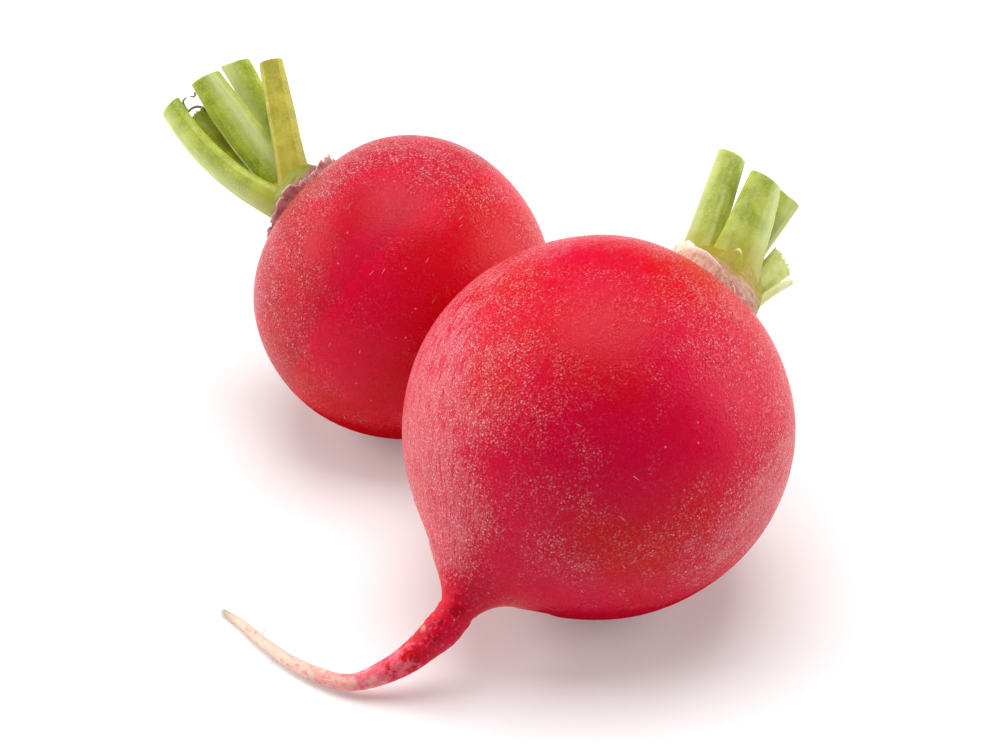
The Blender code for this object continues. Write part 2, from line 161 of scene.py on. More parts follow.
def waves(points: Array, size: float, seed: int, count: int = 16) -> Array:
    """Return a smooth random field over points, mostly from -1 to 1.

    Args:
        points: places, with x, y and z in the last axis.
        size: distance from one swell of the field to the next.
        seed: fixes the random draw.
        count: how many plane waves are summed.

    Returns:
        One value for each place.
    """
    draw = np.random.default_rng(seed)
    ways = draw.normal(size=(count, 3))
    ways /= np.linalg.norm(ways, axis=1)[:, None]
    turns = 2.0 * math.pi / (size * draw.uniform(0.7, 1.5, count))
    phases = draw.uniform(0.0, 2.0 * math.pi, count)
    return np.sin(points @ (ways.T * turns) + phases).sum(axis=-1) / math.sqrt(2.0 * count)


def ramp(values: Array, low: float, high: float) -> Array:
    """Return 0 below low, 1 above high and a smooth rise between them."""
    share = np.clip((values - low) / (high - low), 0.0, 1.0)
    return share * share * (3.0 - 2.0 * share)


def band(values: Array, start: float, full: float, fade: float, end: float,
         most: float = 1.0) -> Array:
    """Return most from full to fade and 0 before start and after end, smooth between them."""
    return most * ramp(values, start, full) * (1.0 - ramp(values, fade, end))


def unit(ways: Array) -> Array:
    """Return directions, given in the last axis, at a length of one."""
    return ways / np.maximum(np.linalg.norm(ways, axis=-1, keepdims=True), 1e-12)


def mm(*lengths: float) -> Tuple[float, ...]:
    """Turn lengths in millimetres into metres."""
    return tuple(length * MM for length in lengths)


class Draw(IntEnum):
    """What each random draw is for, as its distance from the radish's seed."""

    LUMPS = 0
    DIMPLES = 1
    WRINKLE_SWAY = 2
    WRINKLE_PATCHES = 3
    LEDGE_SWAY = 4
    CROWN_LUMPS = 20
    CROWN_SWAY = 21
    STALK = 40
    CUT_FACE = 60
    SHEET = 80


class StalkLook(Enum):
    """The four finishes that a stalk may have, by the record's material slot."""

    GREEN = "leaf_stalk"
    OLIVE = "olive_stalk"
    YOUNG = "young_stalk"
    PALE = "pale_stalk"


@dataclass(frozen=True)
class Stalk:
    """One cut leaf stalk: its shape as in the model, and how it is coloured."""

    name: str
    foot: Lengths  # x and y in the radish's frame
    tip: Lengths  # x, y and z of the middle of the cut
    width: Lengths  # at the foot, the middle and the cut
    thickness: Lengths  # at the foot and the cut
    faces: float  # direction that its groove faces away from, degrees
    groove: float  # depth of the groove, as a share of half the thickness
    cut: float  # slant of the cut, degrees
    look: StalkLook = StalkLook.GREEN
    bow: Lengths = (0.0, 0.0)  # how far its middle bends aside, in x and y
    pale_lit_side: float = 0.0  # angle round the stalk at which its pale band runs, partly a painted highlight, degrees
    pale_width: float = 0.0  # how wide that band is, degrees
    ribs: int = 14  # fine ridges round it
    hug: float = 0.0  # how far one side of its foot spreads towards its neighbour
    ragged: float = 0.0  # how far its torn end is frayed


@dataclass(frozen=True)
class Scale:
    """A dry leaf base round the crown, as in the model."""

    name: str
    start: float  # directions round the crown, degrees
    end: float
    heights: Lengths  # at even steps from start to end
    slot: str
    inset: float = -GAP  # how far it stands inside the crown's rim
    on_crown: bool = False  # it stands on the crown, and not on the bulb's skin


@dataclass(frozen=True)
class Sheet:
    """One of the thin sheets that a dry leaf base is made of."""

    start: float  # directions round the crown, degrees
    end: float
    height: float  # as a share of the leaf base's height
    lean: float  # how far it leans out, in heights
    tone: float  # how far it is browned, from 0 to 1


@dataclass(frozen=True)
class Radish:
    """One radish's sizes, as in the model, and the formulas of its shape."""

    name: str
    radius: float
    centre: Lengths
    heading: float  # direction of the crown, degrees
    rise: float  # angle of the crown above level, degrees
    roll: float  # turn about the crown's direction, degrees
    shoulder_drop: float  # depth of the hollow round the crown, in radii
    shoulder_spread: float  # its reach from the crown's middle, degrees
    swell: float  # how far the bulb is out of round, in radii
    swell_turn: float
    tail: Tuple[Lengths, ...]  # x, y and z in the bunch, and the radius, along the taproot
    crown_radius: float
    crown_height: float
    crown_tilt: float
    knob: Point  # how far the crown bulges on one side, and in which direction
    scales: Tuple[Scale, ...]
    stalks: Tuple[Stalk, ...]
    grain_and_sheen_spots: Tuple[Tuple[float, float, float, float, float], ...]  # spots of less grain and painted sheen, more where share is negative: x, y, z, reach, share
    fringe: float  # dry fibres per square metre beside the crown
    olive_reach: float  # how far the skin beside the crown is tinted
    seed: int

    def placement(self) -> Array:
        """Work out how the radish lies in the bunch.

        Returns:
            The matrix that takes the radish's own frame to the bunch's.
        """
        turn = (
            Matrix.Rotation(math.radians(self.heading), 4, "Z")
            @ Matrix.Rotation(math.radians(90.0 - self.rise), 4, "Y")
            @ Matrix.Rotation(math.radians(self.roll), 4, "Z")
        )
        lift = self.radius - REST_FLAT
        return np.array(Matrix.Translation((self.centre[0], self.centre[1], lift)) @ turn)

    def to_bunch(self, points: Array) -> Array:
        """Take points from the radish's frame to the model's."""
        place = self.placement()
        return points @ place[:3, :3].T + (place[:3, 3] - np.array((*FOOTPRINT_CENTRE, 0.0)))

    def unevenness(self, polar: Array, azimuth: Array) -> Array:
        """Work out how far the skin stands off the turned shape.

        Args:
            polar: angles from the crown's direction.
            azimuth: directions round it.

        Returns:
            Shares of the radius.
        """
        from_axis = np.arctan2(np.sin(polar) * np.cos(azimuth), np.cos(polar))
        longer = np.cos(2.0 * (from_axis - math.radians(self.swell_turn)))
        lobes = (THREE_LOBES * np.sin(3.0 * azimuth + LOBE_TURN)
                 + FIVE_LOBES * np.sin(5.0 * azimuth + LOBE_TWIST * polar))
        return self.swell * longer * np.abs(np.cos(azimuth)) + lobes * np.sin(polar) ** 2

    def turned_reach(self, polar: Array) -> Array:
        """Work out the distance from the bulb's middle to its skin, with no unevenness.

        Args:
            polar: angles from the crown's direction.

        Returns:
            Distances.
        """
        sink = self.shoulder_drop * np.exp(-((polar / math.radians(self.shoulder_spread)) ** 2))
        draw = TAIL_SWELL * np.exp(-(((math.pi - polar) / TAIL_SPREAD) ** 2))
        return self.radius * (1.0 - sink + draw)

    def skin_height(self, x: Array, y: Array, clear: float = 0.0) -> Array:
        """Work out how high the bulb's skin is by the crown.

        Args:
            x: places by the crown.
            y: the same, across it the other way.
            clear: how far above the skin to stay.

        Returns:
            Heights.
        """
        across = np.hypot(x, y)
        azimuth = np.arctan2(y, x)
        height = np.full_like(across, self.radius)
        for _ in range(HEIGHT_ROUNDS):
            polar = np.arctan2(across, height)
            reach = self.turned_reach(polar) * (1.0 + self.unevenness(polar, azimuth)) + clear
            height = np.sqrt(np.maximum(reach * reach - across * across, 0.0))
        return height

    def crown_rim(self, azimuth: Array) -> Array:
        """Work out where the crown ends.

        Args:
            azimuth: directions round it.

        Returns:
            The crown's radius in each direction.
        """
        size, direction = self.knob
        bulge = size * np.cos(azimuth - math.radians(direction))
        return self.crown_radius * (1.0 + bulge + RIM_WAVE * np.sin(5.0 * azimuth + RIM_TURN))

    def dome_height(self, x: Array, y: Array, clear: float = 0.0) -> Array:
        """Work out the height of the crown's dome over the skin.

        Args:
            x: places by the crown.
            y: the same, across it the other way.
            clear: how far above the dome to stay.

        Returns:
            Heights.
        """
        rim = self.crown_rim(np.arctan2(y, x)) + clear
        share = np.minimum(np.hypot(x, y) / rim, 1.0)
        full = (1.0 - share ** DOME_FULLNESS) ** DOME_EDGE
        return (self.crown_height * (1.0 + self.crown_tilt * x / rim) + clear) * full

    def seat_height(self, x: Array, y: Array) -> Array:
        """Return the height at which the model's stalks and scales clear the crown."""
        return self.skin_height(x, y, GAP) + self.dome_height(x, y, GAP)


FRONT = Radish(
    name="front",
    radius=20.0 * MM,
    centre=(0.0, 0.0),
    heading=47.7,
    rise=24.8,
    roll=-54.6,
    shoulder_drop=0.05,
    shoulder_spread=28.0,
    swell=0.012,
    swell_turn=40.0,
    tail=(
        mm(-15.3, -17.4, 8.0, 1.65),
        mm(-18.3, -18.5, 5.2, 1.55),
        mm(-21.2, -19.1, 3.2, 1.30),
        mm(-25.3, -19.15, 1.5, 0.90),
        mm(-30.2, -16.4, 0.95, 0.77),
        mm(-34.0, -12.8, 0.8, 0.62),
        mm(-37.1, -9.0, 0.65, 0.47),
        mm(-39.4, -6.5, 0.45, 0.28),
    ),
    crown_radius=5.5 * MM,
    crown_height=4.4 * MM,
    crown_tilt=0.10,
    knob=(0.05, -25.0),
    scales=(
        Scale("front_scale", start=168.0, end=292.0, heights=mm(1.2, 2.3, 2.1, 1.5, 0.5),
              slot="dry_scale"),
        Scale("front_torn_stub", start=243.0, end=296.0, heights=mm(0.5, 1.3, 1.0, 0.5),
              slot="pale_stalk", inset=0.9 * MM, on_crown=True),
    ),
    stalks=(
        Stalk("front_stalk_left", foot=mm(-3.7, -0.3), tip=mm(-7.2, 0.4, 32.9),
              width=mm(3.4, 3.5, 3.2), thickness=mm(2.6, 2.4), faces=235.0, groove=0.35,
              cut=-6.0, pale_lit_side=150.0, pale_width=40.0, hug=-0.40 * MM),
        Stalk("front_stalk_middle", foot=mm(0.2, -2.2), tip=mm(-2.8, -1.7, 32.4),
              width=mm(4.4, 4.5, 3.6), thickness=mm(2.2, 2.2), faces=275.0, groove=0.55,
              cut=-8.0, pale_lit_side=35.0, pale_width=34.0, hug=0.75 * MM),
        Stalk("front_stalk_behind", foot=mm(1.4, 2.3), tip=mm(0.3, 2.2, 34.2), bow=mm(0.1, 0.0),
              width=mm(2.2, 2.5, 3.1), thickness=mm(1.6, 1.9), faces=80.0, groove=0.40,
              cut=3.0, pale_lit_side=200.0, pale_width=45.0),
        Stalk("front_stalk_stub", foot=mm(3.5, 0.4), tip=mm(4.1, 1.2, 28.0),
              width=mm(2.6, 3.0, 3.4), thickness=mm(1.5, 1.5), faces=290.0, groove=0.30,
              cut=18.0, look=StalkLook.PALE, ribs=10, ragged=0.45 * MM),
        Stalk("front_stalk_sliver", foot=mm(4.8, -0.6), tip=mm(6.1, 0.2, 26.2),
              bow=mm(-0.1, 0.0), width=mm(1.6, 1.5, 1.0), thickness=mm(0.9, 0.7), faces=350.0,
              groove=0.0, cut=10.0, look=StalkLook.PALE, pale_lit_side=350.0, pale_width=300.0,
              ribs=6, ragged=0.25 * MM),
    ),
    # spots with less grain and painted sheen, and with more where the share is negative
    grain_and_sheen_spots=(
        (0.20, -0.93, -0.22, 0.42, 0.75),
        (0.45, -0.85, 0.10, 0.30, 0.40),
        (-0.44, -0.87, 0.12, 0.36, 0.46),
        (-0.59, -0.60, 0.54, 0.40, 0.42),
        (0.58, -0.20, -0.79, 0.35, 0.50),
        (-0.20, -0.70, -0.75, 0.22, 0.45),
        (-0.81, -0.14, -0.57, 0.50, -0.60),
        (-0.95, -0.20, 0.20, 0.40, -0.25),
        (0.93, -0.38, 0.06, 0.42, -0.70),
        (-0.38, -0.14, -0.97, 0.30, -1.20),
        (-0.24, -0.02, -1.14, 0.22, -1.00),
        (0.02, -0.32, -1.08, 0.24, 0.60),
    ),
    fringe=2.4e6,
    olive_reach=2.4 * MM,
    seed=3,
)

BACK = Radish(
    name="back",
    radius=17.1 * MM,
    centre=mm(-21.35, 30.78),
    heading=143.1,
    rise=24.6,
    roll=-132.0,
    shoulder_drop=0.145,
    shoulder_spread=35.0,
    swell=0.008,
    swell_turn=50.0,
    tail=(
        mm(-6.2, 20.9, 7.2, 1.35),
        mm(-2.6, 23.6, 3.8, 1.20),
        mm(1.6, 27.3, 1.7, 0.95),
        mm(6.0, 31.4, 1.0, 0.75),
        mm(9.4, 36.0, 0.8, 0.58),
        mm(10.9, 41.0, 0.65, 0.42),
        mm(10.2, 45.0, 0.45, 0.28),
    ),
    crown_radius=4.7 * MM,
    crown_height=3.4 * MM,
    crown_tilt=0.0,
    knob=(0.04, 160.0),
    scales=(
        Scale("back_scale", start=158.0, end=372.0,
              heights=mm(1.4, 0.8, 1.1, 0.9, 1.1, 0.9, 1.3, 0.7), slot="pink_scale"),
    ),
    stalks=(
        Stalk("back_stalk_outer", foot=mm(-2.7, -1.6), tip=mm(-2.35, -1.2, 34.0),
              bow=mm(-1.1, 0.0), width=mm(3.5, 3.5, 3.0), thickness=mm(2.4, 2.4), faces=225.0,
              groove=0.40, cut=3.0, pale_lit_side=120.0, pale_width=55.0),
        Stalk("back_stalk_middle", foot=mm(-0.3, 0.7), tip=mm(2.7, 0.2, 33.8), bow=mm(-0.2, 0.0),
              width=mm(3.4, 4.2, 3.5), thickness=mm(1.9, 2.1), faces=270.0, groove=0.50,
              cut=21.0, pale_lit_side=60.0, pale_width=30.0),
        Stalk("back_stalk_behind", foot=mm(1.4, 2.9), tip=mm(6.35, 2.3, 33.1),
              width=mm(2.6, 3.2, 3.6), thickness=mm(1.6, 1.9), faces=70.0, groove=0.30,
              cut=38.0, pale_lit_side=300.0, pale_width=35.0),
        Stalk("back_stalk_right", foot=mm(1.7, -1.8), tip=mm(9.1, -1.0, 28.8),
              width=mm(3.4, 3.3, 2.8), thickness=mm(2.2, 2.2), faces=310.0, groove=0.35,
              cut=32.0, look=StalkLook.OLIVE),
        Stalk("back_stalk_young", foot=mm(-1.2, 3.0), tip=mm(-0.6, 2.2, 32.6),
              width=mm(0.5, 2.7, 3.1), thickness=mm(1.2, 0.9), faces=110.0, groove=0.30,
              cut=0.0, look=StalkLook.YOUNG, ribs=8, ragged=0.3 * MM),
    ),
    # spots with less grain and painted sheen, and with more where the share is negative
    grain_and_sheen_spots=(
        (0.05, -0.98, 0.10, 0.50, 0.75),
        (-0.05, -0.75, -0.65, 0.40, 0.70),
        (0.45, -0.70, -0.45, 0.40, 0.60),
        (0.35, -0.85, 0.30, 0.30, 0.35),
        (-0.59, -0.73, -0.35, 0.42, 0.42),
        (-0.63, -0.56, -0.55, 0.35, 0.35),
        (0.66, -0.72, 0.12, 0.34, -0.28),
        (0.34, -0.53, 0.72, 0.30, -0.35),
        (0.09, -0.77, 0.60, 0.24, -0.45),
        (-0.54, -0.63, 0.53, 0.28, -0.20),
    ),
    fringe=1.0e6,
    olive_reach=8.0 * MM,
    seed=11,
)


@dataclass
class Skin:
    """Rows of points that make a tube or a sheet, and what its finish reads from it."""

    points: Array  # rows, columns, xyz
    closed: bool = True  # the columns run all the way round
    first_pole: Optional[Array] = None
    last_pole: Optional[Array] = None
    flip: bool = False  # turns the faces the other way
    around: Optional[Array] = None  # distance across the columns, for the UV map
    along: Optional[Array] = None  # distance down the rows, for the UV map
    marks: Dict[str, Array] = field(default_factory=dict)

    def faces(self) -> Tuple[List[Tuple[int, ...]], List[Spots]]:
        """List the faces, with a fan of triangles round each pole.

        Returns:
            Each face's vertices, and the row and column of each of its corners.
        """
        rows, columns = self.points.shape[:2]
        wide = columns if self.closed else columns - 1
        last = rows - 1
        drawn: List[Tuple[Spots, Tuple[int, ...]]] = [
            (((row, column), (row + 1, column), (row + 1, column + 1), (row, column + 1)), ())
            for row in range(last) for column in range(wide)]
        pole = rows * columns
        if self.first_pole is not None:
            drawn += [(((0, column), (0, column + 1)), (pole,)) for column in range(wide)]
            pole += 1
        if self.last_pole is not None:
            drawn += [(((last, column + 1), (last, column)), (pole,)) for column in range(wide)]
        order = -1 if self.flip else 1
        faces = []
        places = []
        for spots, end in drawn:
            corners = (*(row * columns + column % columns for row, column in spots), *end)
            faces.append(corners[::order])
            places.append((*spots, *spots[:len(end)])[::order])
        return faces, places

    def mesh(self, name: str) -> Mesh:
        """Make the skin a smooth mesh with its UV map and its marks.

        Args:
            name: the mesh's name.

        Returns:
            The mesh.
        """
        poles = [pole for pole in (self.first_pole, self.last_pole) if pole is not None]
        vertices = [self.points.reshape(-1, 3), *(np.asarray(pole).reshape(1, 3) for pole in poles)]
        faces, places = self.faces()
        mesh = bpy.data.meshes.new(name)
        mesh.from_pydata(np.concatenate(vertices).tolist(), [], faces)
        mesh.shade_smooth()
        if self.around is not None and self.along is not None:
            layer = mesh.uv_layers.new(name="skin")
            flat = np.array([spot for face in places for spot in face])
            uv = np.stack((self.around[flat[:, 1]], self.along[flat[:, 0]]), axis=1)
            layer.data.foreach_set("uv", uv.astype(np.float32).ravel())
        for mark, values in self.marks.items():
            kind, key, size = ("FLOAT", "value", 1)
            if values.ndim == 3:
                kind, key, size = ("FLOAT_VECTOR", "vector", 3)
            parts = [values]
            if self.first_pole is not None:
                parts.append(values[:1, :1])
            if self.last_pole is not None:
                parts.append(values[-1:, :1])
            flat = np.concatenate([part.reshape(-1, size) for part in parts])
            layer = mesh.attributes.new(mark, kind, "POINT")
            layer.data.foreach_set(key, flat.astype(np.float32).ravel())
        mesh.update()
        return mesh

    def normals(self) -> Array:
        """Work out which way a closed tube faces.

        Returns:
            The outward direction at each point.
        """
        across = np.roll(self.points, -1, axis=1) - np.roll(self.points, 1, axis=1)
        return unit(np.cross(np.gradient(self.points, axis=0), across))


def put(name: str, data: bpy.types.ID) -> Piece:
    """Put an object that shows some data in the scene.

    Args:
        name: the object's name.
        data: its mesh, light or camera.

    Returns:
        The object.
    """
    item = bpy.data.objects.new(name, data)
    bpy.context.scene.collection.objects.link(item)
    return item


def add_piece(name: str, mesh: Mesh, finish: Material, slot: str,
              *nodes: str) -> Piece:
    """Put a mesh in the scene as a piece of the bunch.

    Args:
        name: the piece's name.
        mesh: its mesh, in the model's frame.
        finish: its material.
        slot: the record's material slot of its finish; it is not used.
        nodes: the model's nodes that it stands for.

    Returns:
        The piece's object, which rides on the bunch's body.
    """
    if not mesh.materials:
        mesh.materials.append(finish)
    piece = put(name, mesh)
    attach(piece, "root")
    if nodes:
        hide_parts(*nodes)
    LOG.info("%s: %d faces", name, len(mesh.polygons))
    return piece


class Spine:
    """The middle line of a root, with the taproot's thickness along it."""

    def __init__(self, radish: Radish) -> None:
        """Run a smooth line from the bulb's middle through the taproot's points.

        Args:
            radish: the radish that the root belongs to.
        """
        place = np.linalg.inv(radish.placement())
        points = [np.array((0.0, 0.0, -radish.radius * share, 0.0)) for share in (0.0, 0.5, 1.0)]
        self.neck_index = len(points)
        for x, y, z, thick in radish.tail:
            local = place @ np.array((x, y, z, 1.0))
            points.append(np.array((local[0], local[1], local[2], thick)))
        steps = [np.linalg.norm((b - a)[:3]) for a, b in zip(points, points[1:])]
        marks = np.concatenate(((0.0,), np.cumsum(steps)))
        last = len(points) - 1
        slopes = []
        for index in range(len(points)):
            low = max(index - 1, 0)
            high = min(index + 1, last)
            slopes.append((points[high] - points[low]) / (marks[high] - marks[low]))
        samples = []
        for index in range(last):
            span = marks[index + 1] - marks[index]
            samples.extend(self.hermite(points[index], points[index + 1], slopes[index] * span,
                                        slopes[index + 1] * span, step / SPINE_STEPS)
                           for step in range(SPINE_STEPS))
        self.samples = np.array([*samples, points[-1]])
        gaps = np.linalg.norm(np.diff(self.samples[:, :3], axis=0), axis=1)
        self.distances = np.concatenate(((0.0,), np.cumsum(gaps)))
        self.neck_end = float(self.distances[self.neck_index * SPINE_STEPS])
        self._turn_sides()

    @staticmethod
    def hermite(start: Array, end: Array, start_slope: Array,
                end_slope: Array, share: float) -> Array:
        """Find a point on a smooth step between two points.

        Args:
            start: the first point.
            end: the second.
            start_slope: how the line leaves the first.
            end_slope: how it comes to the second.
            share: how much of the way to go.

        Returns:
            The point.
        """
        a = share * share
        b = a * share
        return (
            start * (2.0 * b - 3.0 * a + 1.0)
            + start_slope * (b - 2.0 * a + share)
            + end * (3.0 * a - 2.0 * b)
            + end_slope * (b - a)
        )

    def _turn_sides(self) -> None:
        """Work out the two side directions at each sample, turning as little as can be."""
        middle = self.samples[:, :3]
        last = len(middle) - 1
        side = np.array((1.0, 0.0, 0.0))
        sides = []
        backs = []
        for index in range(len(middle)):
            along = middle[min(index + 1, last)] - middle[max(index - 1, 0)]
            along = along / np.linalg.norm(along)
            side = side - along * side.dot(along)
            side = side / np.linalg.norm(side)
            sides.append(side)
            backs.append(np.cross(side, along))
        self.sides = np.array(sides)
        self.backs = np.array(backs)

    def read(self, values: Array, distance: Array) -> Array:
        """Return the samples' values at distances along the line."""
        columns = [np.interp(distance, self.distances, column) for column in values.T]
        return np.stack(columns, axis=-1)

    def ring_radius(self, distance: Array) -> Array:
        """Return the taproot's radius at distances along the line."""
        return np.interp(distance, self.distances, self.samples[:, 3])


@dataclass
class Root:
    """A bulb and its taproot as one skin, with its lumps, wrinkles and scars."""

    radish: Radish
    sides: int = 320
    bulb_rings: int = 150
    neck_rings: int = 50
    tail_rings: int = 96
    lump: float = 0.07 * MM  # height of the low swells of the bulb
    lump_size: float = 13.0 * MM
    lump_sink: float = 1.2  # keeps them inside the model's skin
    tail_lumps: float = 0.3  # how much of them the taproot has
    dimple: float = 0.035 * MM  # depth of the shallow dents
    dimple_size: float = 3.2 * MM
    dimple_range: Point = (0.6, 2.0)
    wrinkle: float = 0.05 * MM  # depth of the rings round the taproot
    wrinkle_step: float = 0.9 * MM
    wrinkle_sway: float = 2.4  # how far from level they run
    wrinkle_sway_size: float = 2.6 * MM
    wrinkle_range: Point = (0.1, 1.0)
    wrinkle_patch: float = 4.0 * MM  # size of the patches that have them
    wrinkle_patch_range: Point = (0.2, 0.9)
    wrinkle_fade: float = 0.6  # how much of them is gone at the tip
    wrinkle_fade_range: Point = (0.72, 1.0)
    ledge: float = 0.22 * MM  # height of the step where the taproot starts
    ledge_sway: float = 0.012
    ledge_sway_size: float = 3.2 * MM
    ledge_band: Tuple[float, ...] = (0.662, 0.668, 0.672, 0.74)
    bulb_fade: Point = (BULB_SHARE + 0.02, BULB_SHARE + 0.12)  # where its lumps end
    grain_fade: Point = (BULB_SHARE + 0.08, BULB_SHARE + 0.15)  # and its grains
    dash_band: Tuple[float, ...] = (0.27, 0.36, 0.50, 0.56)
    hair_band: Tuple[float, ...] = (0.80, 0.84, 0.93, 0.95)
    fringe_fade: Lengths = mm(0.4, 1.9)  # from the crown's rim
    dash_floor: Lengths = mm(0.5, 2.0)  # above the surface that the bunch lies on
    shaded: Point = (0.15, 1.0)  # height below which the skin lies in shade, in radii
    shaded_bloom: float = 0.6  # how much less grain and painted sheen it has in that shade
    bloom_even: float = 0.70  # how grainy skin is away from the listed spots, which also sets its painted sheen
    bloom_most: float = 1.3
    seam: float = 90.0  # direction of the UV map's seam, on the hidden side

    def __post_init__(self) -> None:
        """Work out the root's middle line."""
        self.spine = Spine(self.radish)

    def rows(self) -> Array:
        """Return the share of the way from crown to tip for each ring."""
        bulb = np.linspace(0.0, BULB_SHARE, self.bulb_rings, endpoint=False)[1:]
        neck_end = BULB_SHARE + NECK_SHARE
        neck = np.linspace(BULB_SHARE, neck_end, self.neck_rings, endpoint=False)
        tail = np.linspace(neck_end, 1.0, self.tail_rings, endpoint=False)
        return np.concatenate((bulb, neck, tail))

    def neck_outline(self, share: Array) -> Tuple[Array, Array]:
        """Run a smooth outline from the bulb to where the taproot starts.

        Args:
            share: how much of the way to go.

        Returns:
            The distances along the root's middle line, and the radii.
        """
        radius = self.radish.radius
        turn = np.array((BULB_END, BULB_END - TANGENT_STEP))
        reach = self.radish.turned_reach(turn)
        start, before = np.stack((-reach * np.cos(turn), reach * np.sin(turn)), axis=1)
        away = start - before
        first = start + away / np.linalg.norm(away) * NECK_FIRST_PULL * radius
        neck_end = self.spine.neck_end
        end = np.array((neck_end, float(self.spine.ring_radius(np.array(neck_end)))))
        last = end - np.array((NECK_LAST_PULL * radius, 0.0))
        rest = (1.0 - share)[:, None]
        part = share[:, None]
        line = (start * rest ** 3 + first * 3.0 * rest * rest * part
                + last * 3.0 * rest * part * part + end * part ** 3)
        return line[:, 0], line[:, 1]

    def bare_skin(self) -> Array:
        """Work out the smooth skin, with no relief.

        Returns:
            Rings of points in the radish's frame.
        """
        spine = self.spine
        share = self.rows()
        turn = np.linspace(0.0, 2.0 * math.pi, self.sides, endpoint=False)
        azimuth = (turn + math.radians(self.seam))[None, :]
        polar = (BULB_END * share[share < BULB_SHARE] / BULB_SHARE)[:, None]
        reach = self.radish.turned_reach(polar) * (1.0 + self.radish.unevenness(polar, azimuth))
        flat = reach * np.sin(polar)
        bulb = np.stack((flat * np.cos(azimuth), flat * np.sin(azimuth),
                         reach * np.cos(polar)), axis=2)
        beyond = share[share >= BULB_SHARE] - BULB_SHARE
        part = np.minimum(beyond / NECK_SHARE, 1.0)
        neck_distance, neck_ring = self.neck_outline(part)
        uneven = self.radish.unevenness(np.array(BULB_END), azimuth)
        uneven = 1.0 + uneven * ((1.0 - part) ** 2)[:, None]
        tail_part = (beyond - NECK_SHARE) / (1.0 - BULB_SHARE - NECK_SHARE)
        tail_length = spine.distances[-1] - spine.neck_end
        tail_distance = spine.neck_end + tail_length * np.maximum(tail_part, 0.0)
        in_neck = (beyond < NECK_SHARE)[:, None]
        distance = np.where(in_neck, neck_distance[:, None] * uneven, tail_distance[:, None])
        ring = np.where(in_neck, neck_ring[:, None] * uneven,
                        spine.ring_radius(tail_distance)[:, None])
        middle, side, back = (spine.read(values, distance) for values in (
            spine.samples[:, :3], spine.sides, spine.backs))
        around = side * np.cos(azimuth)[..., None] + back * np.sin(azimuth)[..., None]
        return np.concatenate((bulb, middle + around * ring[..., None]))

    def relief(self, points: Array, share: Array, along: Array,
               lumps: Array) -> Array:
        """Work out how far the skin stands off its smooth form.

        Args:
            points: the smooth skin.
            share: how far along the root each ring is, from 0 to 1.
            along: the distance along the root to each ring.
            lumps: the height of the bulb's low swells.

        Returns:
            A height for each point.
        """
        seed = self.radish.seed
        bulb = 1.0 - ramp(share, *self.bulb_fade)
        dents = waves(points, self.dimple_size, seed + Draw.DIMPLES)
        dimples = -self.dimple * ramp(dents, *self.dimple_range)
        sway = waves(points, self.wrinkle_sway_size, seed + Draw.WRINKLE_SWAY)
        rings = np.sin(2.0 * math.pi * along / self.wrinkle_step + self.wrinkle_sway * sway)
        patchy = 0.5 + 0.5 * waves(points, self.wrinkle_patch, seed + Draw.WRINKLE_PATCHES)
        thin = 1.0 - self.wrinkle_fade * ramp(share, *self.wrinkle_fade_range)
        wrinkles = (-self.wrinkle * thin * ramp(rings, *self.wrinkle_range)
                    * ramp(patchy, *self.wrinkle_patch_range))
        step = share + self.ledge_sway * waves(points, self.ledge_sway_size,
                                               seed + Draw.LEDGE_SWAY)
        tail = wrinkles + self.tail_lumps * lumps
        ledge = band(step, *self.ledge_band, self.ledge)
        return (lumps + dimples) * bulb + tail * (1.0 - bulb) + ledge

    def marks(self, points: Array, standing: Array,
              share: Array) -> Dict[str, Array]:
        """Work out what the finishes and what grows on the skin read from it.

        Args:
            points: the skin in the radish's frame.
            standing: the skin in the model's frame.
            share: how far along the root each ring is, from 0 to 1.

        Returns:
            The values of each mark.
        """
        radish = self.radish
        top = points[..., 2] > 0.0
        from_axis = np.hypot(points[..., 0], points[..., 1])
        from_rim = np.maximum(from_axis - radish.crown_radius, 0.0)
        under = 1.0 - ramp(standing[..., 2] / radish.radius, *self.shaded)
        grainy = 1.0 - ramp(share, *self.grain_fade)
        even = np.zeros_like(under)
        return {
            "share": share + even,
            # how grainy the skin is and where its painted sheen shows, less in the painted shade
            # near the ground
            "bloom_and_sheen": self.bloom_and_sheen(points) * grainy * (1.0 - self.shaded_bloom * under),
            "collar": np.exp(-from_rim / radish.olive_reach) * top,
            "under": under * (1.0 - ramp(share, *self.bulb_fade)),
            "dashes": band(share, *self.dash_band) * ramp(standing[..., 2], *self.dash_floor),
            "hairs": band(share, *self.hair_band) + even,
            "fringe": (1.0 - ramp(from_rim, *self.fringe_fade)) * top,
            "across": unit(np.roll(standing, -1, axis=1) - np.roll(standing, 1, axis=1)),
        }

    def skin(self) -> Skin:
        """Work out the finished skin, pressed flat where it rests.

        Returns:
            The skin in the model's frame.
        """
        radish = self.radish
        share = self.rows()
        points = self.bare_skin()
        steps = np.linalg.norm(np.diff(points.mean(axis=1), axis=0), axis=1)
        steps = np.maximum(steps, np.linalg.norm(np.diff(points[:, 0], axis=0), axis=1))
        along = np.concatenate(((0.0,), np.cumsum(steps)))
        lumps = self.lump * (waves(points, self.lump_size, radish.seed + Draw.LUMPS)
                             - self.lump_sink)
        relief = self.relief(points, share[:, None], along[:, None], lumps)
        points = points + Skin(points).normals() * relief[..., None]
        standing = radish.to_bunch(points)
        standing[..., 2] = np.maximum(standing[..., 2], 0.0)
        top = float(radish.turned_reach(np.array(0.0))) + 2.0 * lumps[0].mean()
        return Skin(
            points=standing,
            first_pole=radish.to_bunch(np.array((0.0, 0.0, top))),
            last_pole=radish.to_bunch(self.spine.samples[-1, :3]),
            around=np.linspace(0.0, 2.0 * math.pi, self.sides + 1) * radish.radius,
            along=along,
            marks=self.marks(points, standing, share[:, None]),
        )

